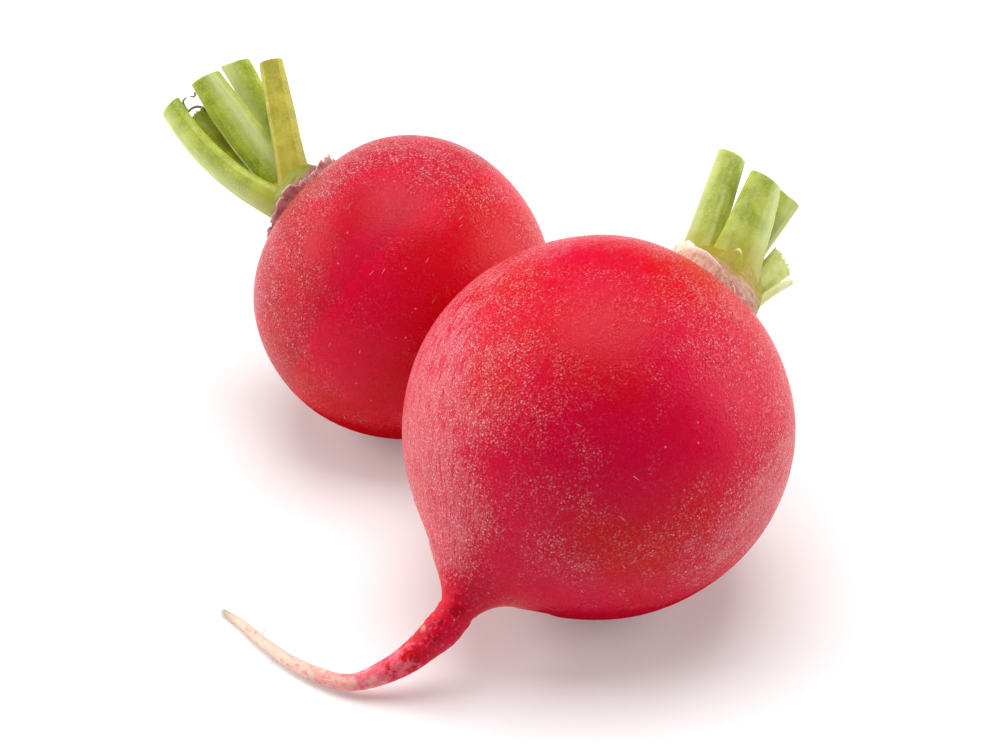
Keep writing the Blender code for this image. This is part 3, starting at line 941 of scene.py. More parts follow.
    def bloom_and_sheen(self, points: Array) -> Array:
        """Work out how grainy the skin is and how much painted sheen it has, less at the listed
        spots and more where their share is negative.

        Args:
            points: the skin in the radish's frame.

        Returns:
            A share for each point.
        """
        grainy = np.full(points.shape[:2], self.bloom_even)
        for x, y, z, reach, share in self.radish.grain_and_sheen_spots:
            away = np.linalg.norm(points / self.radish.radius - (x, y, z), axis=2)
            grainy -= share * np.exp(-(away / reach) ** 2)
        return np.clip(grainy, 0.0, self.bloom_most)

    def build(self, finish: Material, fibre: Material,
              dash: Material) -> None:
        """Make the root's piece, and what grows from its skin.

        Args:
            finish: the skin's finish.
            fibre: the finish of its hairs and of the collar's fringe.
            dash: the finish of its pale dashes.
        """
        radish = self.radish
        name = radish.name + "_root"
        mesh = self.skin().mesh(name)
        add_piece(name + "_skin", mesh, finish, "root_skin", name)
        hairs = Fibres(name + "_hairs", radish.seed, mark="hairs", density=1.5e5,
                       length=1.3 * MM, radius=0.040 * MM, tilt=70.0)
        fringe = Fibres(name + "_fringe", radish.seed + 1, mark="fringe", density=radish.fringe,
                        length=1.0 * MM, radius=0.042 * MM, tilt=90.0)
        dashes = Dashes(name + "_dashes", radish.seed + 2, density=2.4e4, length=0.8 * MM,
                        width=0.09 * MM, height=0.045 * MM)
        for grown, look, slot in ((hairs, fibre, "root_skin"), (fringe, fibre, "dry_scale"),
                                  (dashes, dash, "root_skin")):
            add_piece(grown.name, grown.grow(mesh, look), look, slot)


@dataclass
class Crown:
    """The short neck on top of a bulb, swollen where each stalk grows out of it."""

    radish: Radish
    sides: int = 180
    rings: int = 90
    crowding: float = 0.75  # below one, the rings stand closer towards the rim
    mound: float = 0.9 * MM  # height of the swelling round a stalk's foot
    mound_size: float = 2.0 * MM
    tuck: float = 0.25 * MM  # how far the rim dips under the bulb's skin
    fold: float = 0.05 * MM  # depth of the ring scars of old leaves
    fold_step: float = 0.55 * MM
    fold_sway: float = 1.6  # how far from level they run
    fold_sway_size: float = 3.0 * MM
    fold_range: Point = (0.0, 1.0)
    fold_fade: Point = (0.5, 0.8)  # they start this far out on the crown
    lump: float = 0.10 * MM
    lump_size: float = 2.4 * MM

    def skin(self) -> Skin:
        """Work out the crown's dome, which runs down into the bulb's skin.

        Returns:
            The skin in the model's frame.
        """
        radish = self.radish
        share = np.linspace(0.0, 1.0, self.rings + 1)[1:, None] ** self.crowding
        azimuth = np.linspace(0.0, 2.0 * math.pi, self.sides, endpoint=False)[None, :]
        rim = radish.crown_rim(azimuth)
        x = rim * share * np.cos(azimuth)
        y = rim * share * np.sin(azimuth)
        ground = radish.skin_height(x, y)
        dome = radish.dome_height(x, y) + GAP * (1.0 - share ** 8)
        mounds = np.zeros_like(x)
        for stalk in radish.stalks:
            away = np.hypot(x - stalk.foot[0], y - stalk.foot[1]) / self.mound_size
            mounds = np.maximum(mounds, np.exp(-away ** 2))
        top = dome + self.mound * mounds * (1.0 - share ** 6)
        points = np.stack((x, y, ground + top - self.tuck * share ** 12), axis=2)
        normals = Skin(points).normals()
        lumps = self.lump * waves(points, self.lump_size, radish.seed + Draw.CROWN_LUMPS)
        sway = waves(points, self.fold_sway_size, radish.seed + Draw.CROWN_SWAY)
        rings = np.sin(2.0 * math.pi * dome / self.fold_step + self.fold_sway * sway)
        folds = -self.fold * ramp(rings, *self.fold_range) * ramp(share, *self.fold_fade)
        points = points + normals * (lumps + folds)[..., None]
        return Skin(
            points=radish.to_bunch(points),
            first_pole=radish.to_bunch(points[0].mean(axis=0)),
            marks={"height": dome / (radish.crown_height + GAP), "foot": mounds},
        )

    def build(self, finish: Material) -> None:
        """Make the crown's piece from its finish."""
        name = self.radish.name + "_crown"
        add_piece(name + "_flesh", self.skin().mesh(name), finish, "crown_flesh", name)


@dataclass
class StalkPiece:
    """A leaf stalk with fine ribs, a spreading foot and a cut or torn end."""

    radish: Radish
    stalk: Stalk
    sides: int = 84
    rings: int = 110
    rib: float = 0.022 * MM  # height of the fine ridges
    wide_ribs: float = 5.0  # broader ridges round it, half as high
    rib_ends: Point = (0.02, 0.98)
    rib_fade: float = 0.3
    rough: float = 0.03 * MM  # height of its unevenness
    rough_size: float = 3.5 * MM
    rough_gain: float = 0.8
    slimmest: float = 0.3 * MM
    spread: float = 0.22  # how much wider it is at the foot
    spread_length: float = 0.10  # over this share of its length
    hug_length: float = 0.45  # how far up its side spreads, as a share of its length
    sunk: float = 0.5 * MM  # how far its foot goes into the crown
    reach_down: float = 2.4 * MM  # how far a foot runs down the side of the crown
    foot_share: float = 0.16  # share of its length that bends down to the crown
    cut_share: float = 0.2  # share of its length that the cut's slant reaches
    tear_size: float = 1.6 * MM  # from one torn point to the next
    lip: float = 0.10 * MM  # how far the cut face sinks behind its edge
    cut_rings: Tuple[Point, ...] = (  # size of each ring on the cut, and how many lips it sinks
        (0.97, -0.02), (0.93, 0.5), (0.80, 1.0), (0.60, 0.8), (0.40, 1.3), (0.20, 2.0))
    cut_edge: float = 0.95  # rings larger than this are half skin
    edge_mark: float = 0.4
    cut_rough: float = 0.25  # unevenness of the cut, in lips
    cut_rough_size: float = 0.9 * MM
    foot_tint: float = 2.6 * MM  # how far up the foot's colour reaches

    def __post_init__(self) -> None:
        """Set out the rings and sides, and the seed of the random draws."""
        self.share = np.linspace(0.0, 1.0, self.rings)
        self.angle = np.linspace(0.0, 2.0 * math.pi, self.sides, endpoint=False)
        self.seed = self.radish.seed + Draw.STALK + int(self.stalk.faces)

    def line(self) -> Tuple[Array, Array]:
        """Run the stalk's middle line from the crown to the cut.

        Returns:
            The place and the direction of each ring.
        """
        x, y = self.stalk.foot
        seat = self.radish.seat_height(np.array(x), np.array(y))
        foot = np.array((x, y, float(seat)))
        tip = np.array(self.stalk.tip)
        bend = (foot + tip) / 2.0 + 2.0 * np.array((*self.stalk.bow, 0.0))
        part = self.share[:, None]
        rest = 1.0 - part
        middle = foot * rest * rest + bend * 2.0 * rest * part + tip * part * part
        return middle, unit((bend - foot) * rest + (tip - bend) * part)

    def offsets(self, along: Array) -> Array:
        """Work out the stalk's section at each ring.

        Args:
            along: the direction of the middle line.

        Returns:
            The way from the middle line to the skin.
        """
        stalk = self.stalk
        share = self.share
        faces = math.radians(stalk.faces)
        outer = np.array((math.cos(faces), math.sin(faces), 0.0))
        outer = unit(outer - along * (along @ outer)[:, None])
        side = np.cross(along, outer)
        foot, middle, cut = stalk.width
        width = foot * (1.0 - share) ** 2 + (4.0 * middle - foot - cut) * share * (1.0 - share)
        width = width + cut * share ** 2
        flare = 1.0 + self.spread * np.exp(-share / self.spread_length)
        thick = stalk.thickness[0] + (stalk.thickness[1] - stalk.thickness[0]) * share
        across = np.cos(self.angle)
        through = np.sin(self.angle)
        channel = 1.0 - stalk.groove * np.exp(-((across / GROOVE_WIDTH) ** 2))
        through = np.where(through < 0.0, through * channel, through)
        wide = (width * flare)[:, None] * across[None, :] / 2.0
        deep = (thick * flare)[:, None] * through[None, :] / 2.0
        facing = (1.0 - math.copysign(1.0, stalk.hug) * across)[None, :] / 2.0
        wide = wide - (stalk.hug * np.exp(-share / self.hug_length))[:, None] * facing
        return side[:, None, :] * wide[..., None] + outer[:, None, :] * deep[..., None]

    def ribbed(self, middle: Array, offset: Array) -> Array:
        """Raise the ribs and the unevenness on the section.

        Args:
            middle: the places on the middle line.
            offset: the way from there to the smooth skin.

        Returns:
            The way from the middle line to the ribbed skin.
        """
        size = np.linalg.norm(offset, axis=2, keepdims=True)
        ribs = (np.cos(self.stalk.ribs * self.angle)[None, :]
                + 0.5 * np.cos(self.wide_ribs * self.angle + 1.0)[None, :])
        fade = np.sin(math.pi * np.clip(self.share, *self.rib_ends)) ** self.rib_fade
        places = middle[:, None, :] + offset * 2.0
        rough = self.rough_gain * waves(places, self.rough_size, self.seed)
        relief = (self.rib * ribs * fade[:, None] + self.rough * rough)[..., None]
        return offset * (1.0 + relief / np.maximum(size, self.slimmest))

    def trimmed(self, points: Array, offset: Array,
                along: Array) -> Array:
        """Slant the end as it was cut, and fray it where it was torn.

        Args:
            points: the skin.
            offset: the way from the middle line to the skin.
            along: the direction of the middle line.

        Returns:
            The skin with its trimmed end.
        """
        slant = math.radians(self.stalk.cut)
        normal = np.array((math.sin(slant), 0.0, math.cos(slant)))
        tilt = (offset @ normal) / (along @ normal)[:, None]
        late = (self.share - (1.0 - self.cut_share)) / self.cut_share
        late = np.clip(late, 0.0, 1.0)[:, None] ** 2
        points = points - along[:, None, :] * (tilt * late)[..., None]
        if self.stalk.ragged > 0.0:
            torn = np.abs(waves(offset[-1] * 3.0, self.tear_size, self.seed + 1, TEAR_WAVES))
            fray = np.maximum(self.stalk.ragged * (1.0 - torn), 0.0)
            points = points - along[:, None, :] * (fray[None, :] * late)[..., None]
        return points

    def planted(self, points: Array, along: Array) -> Array:
        """Run the foot down into the crown all round.

        Args:
            points: the skin.
            along: the direction of the middle line.

        Returns:
            The skin with its planted foot.
        """
        x, y = points[0, :, 0], points[0, :, 1]
        ground = self.radish.skin_height(x, y) + self.radish.dome_height(x, y)
        drop = np.clip(points[0, :, 2] - ground, 0.0, self.reach_down) + self.sunk
        early = (1.0 - np.clip(self.share / self.foot_share, 0.0, 1.0)) ** 1.5
        return points - along[:, None, :] * (drop[None, :] * early[:, None])[..., None]

    def skin(self) -> Skin:
        """Work out the stalk's skin, closed over its cut end.

        Returns:
            The skin in the model's frame.
        """
        stalk = self.stalk
        middle, along = self.line()
        offset = self.ribbed(middle, self.offsets(along))
        points = self.trimmed(middle[:, None, :] + offset, offset, along)
        points = self.planted(points, along)
        cut, cut_marks = self.cut_face(points[-1], along[-1])
        length = float(np.linalg.norm(middle[-1] - middle[0]))
        distance = np.concatenate((self.share * length, np.full(len(cut), length)))
        # the pale band down one side, partly a painted highlight
        away = np.abs((np.degrees(self.angle) - stalk.pale_lit_side + 180.0) % 360.0 - 180.0)
        pale = np.exp(-(away / max(stalk.pale_width, 1.0)) ** 2) * (stalk.pale_width > 0.0)
        on_cut = np.concatenate((np.zeros(len(points)), cut_marks))
        even = np.zeros((len(distance), self.sides))
        return Skin(
            points=self.radish.to_bunch(np.concatenate((points, cut))),
            first_pole=self.radish.to_bunch(points[0].mean(axis=0)),
            last_pole=self.radish.to_bunch(cut[-1].mean(axis=0)),
            around=np.linspace(0.0, math.pi * sum(stalk.width) / 3.0, self.sides + 1),
            along=distance,
            marks={
                "foot": np.exp(-distance / self.foot_tint)[:, None] + even,
                "pale": pale[None, :] + even,
                "cut": on_cut[:, None] + even,
            },
        )

    def cut_face(self, edge: Array, along: Array) -> Tuple[Array, Array]:
        """Close the cut end with smaller and smaller rings.

        Args:
            edge: the last ring of the skin.
            along: the direction of the stalk there.

        Returns:
            The rings, and how far each is on the cut.
        """
        middle = edge.mean(axis=0)
        seed = self.radish.seed + Draw.CUT_FACE
        rings = []
        for size, sink in self.cut_rings:
            ring = middle + (edge - middle) * size
            uneven = self.cut_rough * waves(ring, self.cut_rough_size, seed)[:, None]
            rings.append(ring - along * self.lip * (sink + uneven))
        marks = [1.0 if size < self.cut_edge else self.edge_mark for size, _ in self.cut_rings]
        return np.array(rings), np.array(marks)

    def build(self, finish: Material) -> None:
        """Make the stalk's piece from its finish."""
        name = self.stalk.name
        add_piece(name + "_skin", self.skin().mesh(name), finish, self.stalk.look.value, name)


@dataclass
class ScaleSheets:
    """Thin ragged sheets of dry leaf base that stand round a crown."""

    radish: Radish
    scale: Scale
    sheets: Tuple[Sheet, ...]
    ragged: float  # depth of the torn edge, as a share of the height
    thickness: float = 0.14 * MM
    columns: int = 140
    rows: int = 18
    wide_tears: Point = (13.0, 0.75)  # degrees from one to the next, and share of the depth
    fine_tears: Point = (4.0, 0.25)
    deepest: float = 0.8  # how much of the height a tear may take
    rounding: float = 0.45  # how fast a sheet rises at its two ends
    curl: float = 0.12 * MM  # how far its edge waves in and out
    curl_size: float = 14.0  # degrees from one wave to the next
    bend: float = 1.6  # above one, a sheet leans out most near its edge
    sunk: float = 1.3 * MM  # how far the foot of a sheet on the crown goes into it
    tucked: float = 0.3 * MM  # and into the bulb's skin
    low_edge: float = 0.30  # how much its lowest edge pales, as a share of its highest

    def sheet(self, index: int) -> Skin:
        """Work out one sheet.

        Args:
            index: which of the sheets.

        Returns:
            Its skin in the model's frame.
        """
        radish = self.radish
        scale = self.scale
        sheet = self.sheets[index]
        seed = radish.seed + Draw.SHEET + index + int(scale.start)
        span = sheet.end - sheet.start
        across = np.linspace(0.0, 1.0, self.columns)[None, :]
        up = np.linspace(0.0, 1.0, self.rows)[:, None]
        azimuth = np.radians(sheet.start + span * across)
        guide = np.interp(np.degrees(azimuth), np.linspace(
            scale.start, scale.end, len(scale.heights)), scale.heights)
        line = np.stack((across * span, across * 0.0, across * 0.0), axis=2)
        wide, fine = (waves(line, size, seed + step, EDGE_WAVES)[0] * share
                      for step, (size, share) in enumerate((self.wide_tears, self.fine_tears)))
        ends = np.sin(math.pi * across) ** self.rounding
        bites = self.ragged * np.maximum(wide + fine, 0.0)[None, :]
        rise = guide * sheet.height * ends * (1.0 - np.minimum(bites, self.deepest))
        curl = self.curl * waves(line, self.curl_size, seed + 2, EDGE_WAVES)
        out = radish.crown_rim(azimuth) - scale.inset
        foot = (out * np.cos(azimuth), out * np.sin(azimuth))
        if scale.on_crown:
            base = radish.seat_height(*foot) - self.sunk
        else:
            base = radish.skin_height(*foot) - self.tucked
        out = out + (sheet.lean * rise * up ** self.bend + curl * up)
        points = np.stack((out * np.cos(azimuth), out * np.sin(azimuth),
                           base + (rise + self.tucked) * up), axis=2)
        pale = self.low_edge + (1.0 - self.low_edge) * rise / rise.max()
        return Skin(
            points=radish.to_bunch(points),
            closed=False,
            flip=True,
            around=np.linspace(0.0, math.radians(span) * radish.crown_radius, self.columns),
            along=np.linspace(0.0, float(rise.max()), self.rows),
            marks={"up": up * pale, "tone": np.full((self.rows, self.columns), sheet.tone)},
        )

    def build(self, finish: Material) -> None:
        """Make the sheets as one piece with their thickness.

        Args:
            finish: their finish.
        """
        name = self.scale.name
        meshes = [self.sheet(index).mesh(name) for index in range(len(self.sheets))]
        piece = add_piece(name + "_sheets", joined(meshes, name), finish, self.scale.slot, name)
        solid = piece.modifiers.new("thickness", "SOLIDIFY")
        solid.thickness = self.thickness
        solid.offset = 0.0


def joined(meshes: Sequence[Mesh], name: str) -> Mesh:
    """Join meshes into one, with their UV maps and marks kept.

    Args:
        meshes: the meshes, in one frame.
        name: the new mesh's name.

    Returns:
        One mesh that holds them all.
    """
    parts = [put(name + "_part", mesh) for mesh in meshes]
    with bpy.context.temp_override(active_object=parts[0], selected_editable_objects=parts):
        bpy.ops.object.join()
    whole = parts[0].data
    bpy.data.objects.remove(parts[0], do_unlink=True)
    whole.name = name
    return whole


class Growth:
    """A Geometry Nodes tree that grows copies of a small shape from a piece's surface."""

    margin = 0.02 * MM  # how far what grows stays inside the model's box

    def __init__(self, name: str, sizes: Dict[str, float], seed: int) -> None:
        """Start a tree with named inputs.

        Args:
            name: the tree's name.
            sizes: a value for each named input.
            seed: fixes every random draw.
        """
        self.tree = bpy.data.node_groups.new(name, "GeometryNodeTree")
        self.values: Dict[str, Any] = {**sizes, "Seed": seed}
        face = self.tree.interface
        face.new_socket("Geometry", in_out="INPUT", socket_type="NodeSocketGeometry")
        for size in sizes:
            face.new_socket(size, in_out="INPUT", socket_type="NodeSocketFloat")
        face.new_socket("Seed", in_out="INPUT", socket_type="NodeSocketInt")
        face.new_socket("Geometry", in_out="OUTPUT", socket_type="NodeSocketGeometry")
        self.start = add_node(self.tree, "NodeGroupInput").outputs

    def add(self, kind: str, inputs: Optional[Dict[Any, Any]] = None, take: Any = 0,
            **settings: Any) -> Socket:
        """Add a node to the tree and return one of its outputs."""
        return add_node(self.tree, kind, inputs, **settings).outputs[take]

    def scatter(self, mark: str) -> Node:
        """Strew points over the surface, as many as a mark on it allows.

        Args:
            mark: the mark's name.

        Returns:
            The node that gives the points.
        """
        chance = self.add("GeometryNodeInputNamedAttribute", {"Name": mark}, "Attribute",
                          data_type="FLOAT")
        amount = self.add("ShaderNodeMath", {0: chance, 1: self.start["Density"]},
                          operation="MULTIPLY")
        return add_node(self.tree, "GeometryNodeDistributePointsOnFaces", {
            "Mesh": self.start["Geometry"], "Density": amount, "Seed": self.start["Seed"]},
            distribute_method="RANDOM")

    def draw(self, low: Any, high: Any, offset: int) -> Socket:
        """Draw a random value for each point.

        Args:
            low: the least that it may be.
            high: the most.
            offset: sets this draw apart from the tree's others.

        Returns:
            The value.
        """
        seed = self.add("ShaderNodeMath", {0: self.start["Seed"], 1: float(offset)})
        return self.add("FunctionNodeRandomValue", {"Seed": seed, 2: low, 3: high}, "Value",
                        data_type="FLOAT")

    def turned(self, turn: Socket, angles: Dict[str, Any]) -> Socket:
        """Turn each copy a little further.

        Args:
            turn: how it is turned already.
            angles: how far to turn it about its own X, Y and Z.

        Returns:
            The whole turn.
        """
        extra = self.add("FunctionNodeEulerToRotation", {
            "Euler": self.add("ShaderNodeCombineXYZ", angles)})
        return self.add("FunctionNodeRotateRotation", {"Rotation": turn, "Rotate By": extra},
                        rotation_space="LOCAL")

    def grow(self, points: Node, shape: Socket, turn: Socket, scale: Socket,
             finish: Material) -> None:
        """Put a copy of a shape on each point and end the tree.

        Args:
            points: the node that gives the points.
            shape: the shape.
            turn: how each copy is turned.
            scale: its size.
            finish: its material.
        """
        copies = self.add("GeometryNodeInstanceOnPoints", {
            "Points": points.outputs["Points"], "Instance": shape,
            "Rotation": turn, "Scale": scale})
        real = self.add("GeometryNodeRealizeInstances", {"Geometry": copies})
        dressed = self.add("GeometryNodeSetMaterial", {"Geometry": real, "Material": finish})
        add_node(self.tree, "NodeGroupOutput", {"Geometry": dressed})

    def bake(self, name: str, ground: Mesh) -> Mesh:
        """Run the tree on a mesh.

        Args:
            name: the new mesh's name.
            ground: the mesh that things grow from.

        Returns:
            What grew, as a plain mesh.
        """
        host = put(name + "_ground", ground)
        modifier = host.modifiers.new("growth", "NODES")
        modifier.node_group = self.tree
        for item in self.tree.interface.items_tree:
            if item.in_out == "INPUT" and item.name in self.values:
                modifier[item.identifier] = self.values[item.name]
        graph = bpy.context.evaluated_depsgraph_get()
        mesh = bpy.data.meshes.new_from_object(host.evaluated_get(graph))
        host.modifiers.remove(modifier)
        bpy.data.objects.remove(host, do_unlink=True)
        mesh.name = name
        mesh.shade_smooth()
        places = np.empty(3 * len(mesh.vertices), dtype=np.float32)
        mesh.vertices.foreach_get("co", places)
        low, high = (np.array(corner) for corner in CAD_BOX)
        inside = np.clip(places.reshape(-1, 3), low + self.margin, high - self.margin)
        mesh.vertices.foreach_set("co", inside.astype(np.float32).ravel())
        mesh.update()
        return mesh


@dataclass
class Fibres:
    """Fine hairs that grow from a root: its own root hairs, or the dry fringe of its collar."""

    name: str
    seed: int
    mark: str  # the mark that says where they grow
    density: float  # per square metre
    length: float
    radius: float
    tilt: float  # how far they lean from upright, degrees
    bend: float = 0.35  # how far the tip bends over, in lengths
    sway: float = 0.06  # how far they wave sideways, in lengths
    sway_turn: float = 5.0  # angle of that wave at the tip, radians
    tip: float = 0.25  # thickness of the tip, as a share of the foot's
    least_tilt: float = 0.2  # radians
    lengths: Point = (0.4, 1.5)  # shortest and longest, in lengths
    steps: int = 7
    sides: int = 5

    def hair(self, growth: Growth) -> Socket:
        """Shape one hair, a length of one tall.

        Args:
            growth: the tree that it is made in.

        Returns:
            Its mesh.
        """
        add = growth.add
        spot = add("GeometryNodeSplineParameter")
        square = add("ShaderNodeMath", {0: spot, 1: 2.0}, operation="POWER")
        reach = add("ShaderNodeMath", {0: square, 1: growth.start["Bend"]}, operation="MULTIPLY")
        wave = add("ShaderNodeMath", {0: spot, 1: self.sway_turn}, operation="MULTIPLY")
        wave = add("ShaderNodeMath", {0: wave}, operation="SINE")
        sway = add("ShaderNodeMath", {0: wave, 1: self.sway}, operation="MULTIPLY")
        aside = add("ShaderNodeCombineXYZ", {"X": reach, "Y": sway})
        slim = add("ShaderNodeMath", {0: growth.start["Radius"], 1: growth.start["Length"]},
                   operation="DIVIDE")
        taper = add("ShaderNodeMapRange", {"Value": spot, "To Min": 1.0, "To Max": self.tip})
        width = add("ShaderNodeMath", {0: slim, 1: taper}, operation="MULTIPLY")
        line = add("GeometryNodeCurvePrimitiveLine", {"End": (0.0, 0.0, 1.0)})
        line = add("GeometryNodeResampleCurve", {"Curve": line, "Count": self.steps})
        line = add("GeometryNodeSetPosition", {"Geometry": line, "Offset": aside})
        line = add("GeometryNodeSetCurveRadius", {"Curve": line, "Radius": width})
        ring = add("GeometryNodeCurvePrimitiveCircle", {"Resolution": self.sides, "Radius": 1.0})
        return add("GeometryNodeCurveToMesh", {
            "Curve": line, "Profile Curve": ring, "Scale": width, "Fill Caps": True})

    def grow(self, ground: Mesh, finish: Material) -> Mesh:
        """Grow the fibres from a surface.

        Args:
            ground: the surface.
            finish: their material.

        Returns:
            All of them as one mesh.
        """
        growth = Growth(self.name, {
            "Density": self.density, "Length": self.length, "Radius": self.radius,
            "Bend": self.bend, "Tilt": math.radians(self.tilt)}, self.seed)
        points = growth.scatter(self.mark)
        turn = growth.turned(points.outputs["Rotation"], {
            "X": growth.draw(self.least_tilt, growth.start["Tilt"], 1),
            "Z": growth.draw(-math.pi, math.pi, 2)})
        size = growth.add("ShaderNodeMath", {0: growth.draw(*self.lengths, 3),
                                             1: growth.start["Length"]}, operation="MULTIPLY")
        growth.grow(points, self.hair(growth), turn, size, finish)
        return growth.bake(self.name, ground)


@dataclass
class Dashes:
    """The short raised pale lines across the lower half of a bulb, where it breathes."""

    name: str
    seed: int
    density: float  # per square metre
    length: float
    width: float
    height: float
    wobble: float = 0.25  # how far from level they lie, radians
    lengths: Point = (0.35, 1.3)  # shortest and longest, in lengths
    sides: int = 8
    rings: int = 4

    def grow(self, ground: Mesh, finish: Material) -> Mesh:
        """Grow the dashes on a bulb.

        Args:
            ground: the bulb's skin.
            finish: their material.

        Returns:
            All of them as one mesh.
        """
        growth = Growth(self.name, {
            "Density": self.density, "Length": self.length, "Width": self.width,
            "Height": self.height}, self.seed)
        points = growth.scatter("dashes")
        bead = growth.add("GeometryNodeMeshUVSphere", {
            "Segments": self.sides, "Rings": self.rings, "Radius": 0.5})
        across = growth.add("GeometryNodeInputNamedAttribute", {"Name": "across"}, "Attribute",
                            data_type="FLOAT_VECTOR")
        level = growth.add("FunctionNodeAxesToRotation", {
            "Primary Axis": points.outputs["Normal"], "Secondary Axis": across},
            primary_axis="Z", secondary_axis="X")
        turn = growth.turned(level, {"Z": growth.draw(-self.wobble, self.wobble, 5)})
        length = growth.add("ShaderNodeMath", {0: growth.draw(*self.lengths, 6),
                                               1: growth.start["Length"]}, operation="MULTIPLY")
        size = growth.add("ShaderNodeCombineXYZ", {
            "X": length, "Y": growth.start["Width"], "Z": growth.start["Height"]})
        growth.grow(points, bead, turn, size, finish)
        return growth.bake(self.name, ground)


@dataclass
class Thread:
    """A thin curling strand, such as a torn rib, round and tapered."""

    name: str
    points: Tuple[Lengths, ...]  # in a radish's frame
    radius: float
    tip_radius: float
    steps: int = 60
    sides: int = 10

    def skin(self, radish: Radish) -> Skin:
        """Work out the strand's skin.

        Args:
            radish: the radish in whose frame its points are.

        Returns:
            The skin in the model's frame.
        """
        knots = np.array(self.points)
        spots = np.linspace(0.0, len(knots) - 1.0, self.steps)
        line = np.array([self.smooth(knots, spot) for spot in spots])
        along = unit(np.gradient(line, axis=0))
        side = unit(np.cross(along, THREAD_SIDE))
        back = np.cross(along, side)
        angle = np.linspace(0.0, 2.0 * math.pi, self.sides, endpoint=False)
        share = np.linspace(0.0, 1.0, self.steps)
        thick = self.radius + (self.tip_radius - self.radius) * share
        ring = (side[:, None] * np.cos(angle)[None, :, None]
                + back[:, None] * np.sin(angle)[None, :, None])
        points = line[:, None] + ring * thick[:, None, None]
        return Skin(radish.to_bunch(points), first_pole=radish.to_bunch(line[0]),
                    last_pole=radish.to_bunch(line[-1]))

    @staticmethod
    def smooth(knots: Array, spot: float) -> Array:
        """Find a place on the smooth line through the knots.

        Args:
            knots: the strand's points.
            spot: how many knots along, with a share of the way to the next.

        Returns:
            The place.
        """
        index = min(int(spot), len(knots) - 2)
        start, end = knots[index], knots[index + 1]
        before = knots[max(index - 1, 0)]
        after = knots[min(index + 2, len(knots) - 1)]
        return Spine.hermite(start, end, (end - before) / 2.0, (after - start) / 2.0, spot - index)


@dataclass(frozen=True)
class Pattern:
    """A natural pattern and the real size of its features."""

    size: float
    length: float = 0.0  # along the piece, where its features are longer than wide
    detail: float = 3.0
    roughness: float = 0.5
    cells: bool = False  # round cells in place of clouds


Source = Union[str, Pattern, Socket]  # a mark on the mesh, a pattern or a node's output


@dataclass(frozen=True)
class Surface:
    """The shader of one finish, and how colours are laid over each other in it."""

    material: Material
    shader: Node
    place: Socket
    uv: Socket

    @classmethod
    def start(cls, name: str) -> "Surface":
        """Start a finish with its shader and its two sets of coordinates.

        Args:
            name: the material's name.

        Returns:
            The empty finish.
        """
        material = bpy.data.materials.new(name)
        material.use_nodes = True
        shader = material.node_tree.nodes["Principled BSDF"]
        spots = add_node(material.node_tree, "ShaderNodeTexCoord")
        return cls(material, shader, spots.outputs["Object"], spots.outputs["UV"])

    def add(self, kind: str, inputs: Dict[Any, Any], take: Any = 0, **settings: Any) -> Socket:
        """Add a node to the finish and return one of its outputs."""
        return add_node(self.material.node_tree, kind, inputs, **settings).outputs[take]

    def read(self, source: Source, take: Any = 0) -> Socket:
        """Spread a pattern over the piece, or read one of its marks.

        Args:
            source: what to read.
            take: which of a pattern's outputs is wanted.

        Returns:
            Its value at each place.
        """
        if isinstance(source, Socket):
            return source
        if isinstance(source, str):
            return self.add("ShaderNodeAttribute", {}, "Fac", attribute_name=source)
        place = self.place
        scale = 1.0 / source.size
        if source.length > 0.0:
            place = self.add("ShaderNodeMapping", {
                "Vector": self.uv, "Scale": (scale, 1.0 / source.length, 1.0)})
            scale = 1.0
        if source.cells:
            return self.add("ShaderNodeTexVoronoi", {"Vector": place, "Scale": scale}, take)
        return self.add("ShaderNodeTexNoise", {
            "Vector": place, "Scale": scale, "Detail": source.detail,
            "Roughness": source.roughness}, take)

    def rise(self, source: Source, low: float, high: float, least: float = 0.0,
             most: float = 1.0, where: Union[float, Source] = 1.0) -> Socket:
        """Make a share that rises smoothly with a value.

        Args:
            source: what the share follows.
            low: the value up to which the share is least.
            high: the value from which it is most.
            least: the least share.
            most: the most.
            where: another share that it is multiplied by.

        Returns:
            The share.
        """
        share = self.add("ShaderNodeMapRange", {
            "Value": self.read(source), "From Min": low, "From Max": high,
            "To Min": least, "To Max": most}, interpolation_type="SMOOTHSTEP")
        if where == 1.0:
            return share
        return self.add("ShaderNodeMath", {0: share, 1: self.read(where)}, operation="MULTIPLY")

    def sway(self, source: Source, gain: float, base: Source) -> Socket:
        """Return a base value that a pattern sways up and down by half its gain."""
        level = self.add("ShaderNodeMath", {0: self.read(source), 1: 0.5}, operation="SUBTRACT")
        return self.add("ShaderNodeMath", {0: level, 1: gain, 2: self.read(base)},
                        operation="MULTIPLY_ADD")

    def coat(self, colour: Any, tones: Sequence[Tuple]) -> Socket:
        """Lay tones over a colour, each over those before it.

        Args:
            colour: the colour below, as a hex value or a node's output.
            tones: each tone, and what rise takes to say where it shows.

        Returns:
            The colour of them all.
        """
        for tone, *where in tones:
            under, over = (linear(hue) if isinstance(hue, str) else hue for hue in (colour, tone))
            colour = self.add("ShaderNodeMix", {0: self.rise(*where), 6: under, 7: over}, 2,
                              data_type="RGBA")
        return colour

    def finish(self, colour: Socket, roughness: Socket, heights: Sequence[Tuple[Socket, float]],
               **settings: Union[float, Socket]) -> Material:
        """Wire up the shader.

        Args:
            colour: the base colour.
            roughness: the roughness.
            heights: each height map, with how deep its full range is.
            settings: a value or a socket for the shader's other inputs, with _ for spaces.

        Returns:
            The finished material.
        """
        inputs: Dict[Any, Any] = {"Strength": 1.0}
        for height, depth in heights:
            normal = self.add("ShaderNodeBump", {**inputs, "Height": height, "Distance": depth})
            inputs["Normal"] = normal
        looks = {"Base Color": colour, "Roughness": roughness, "Normal": inputs["Normal"],
                 **{name.replace("_", " "): value for name, value in settings.items()}}
        fill(self.material.node_tree, self.shader, looks)
        return self.material


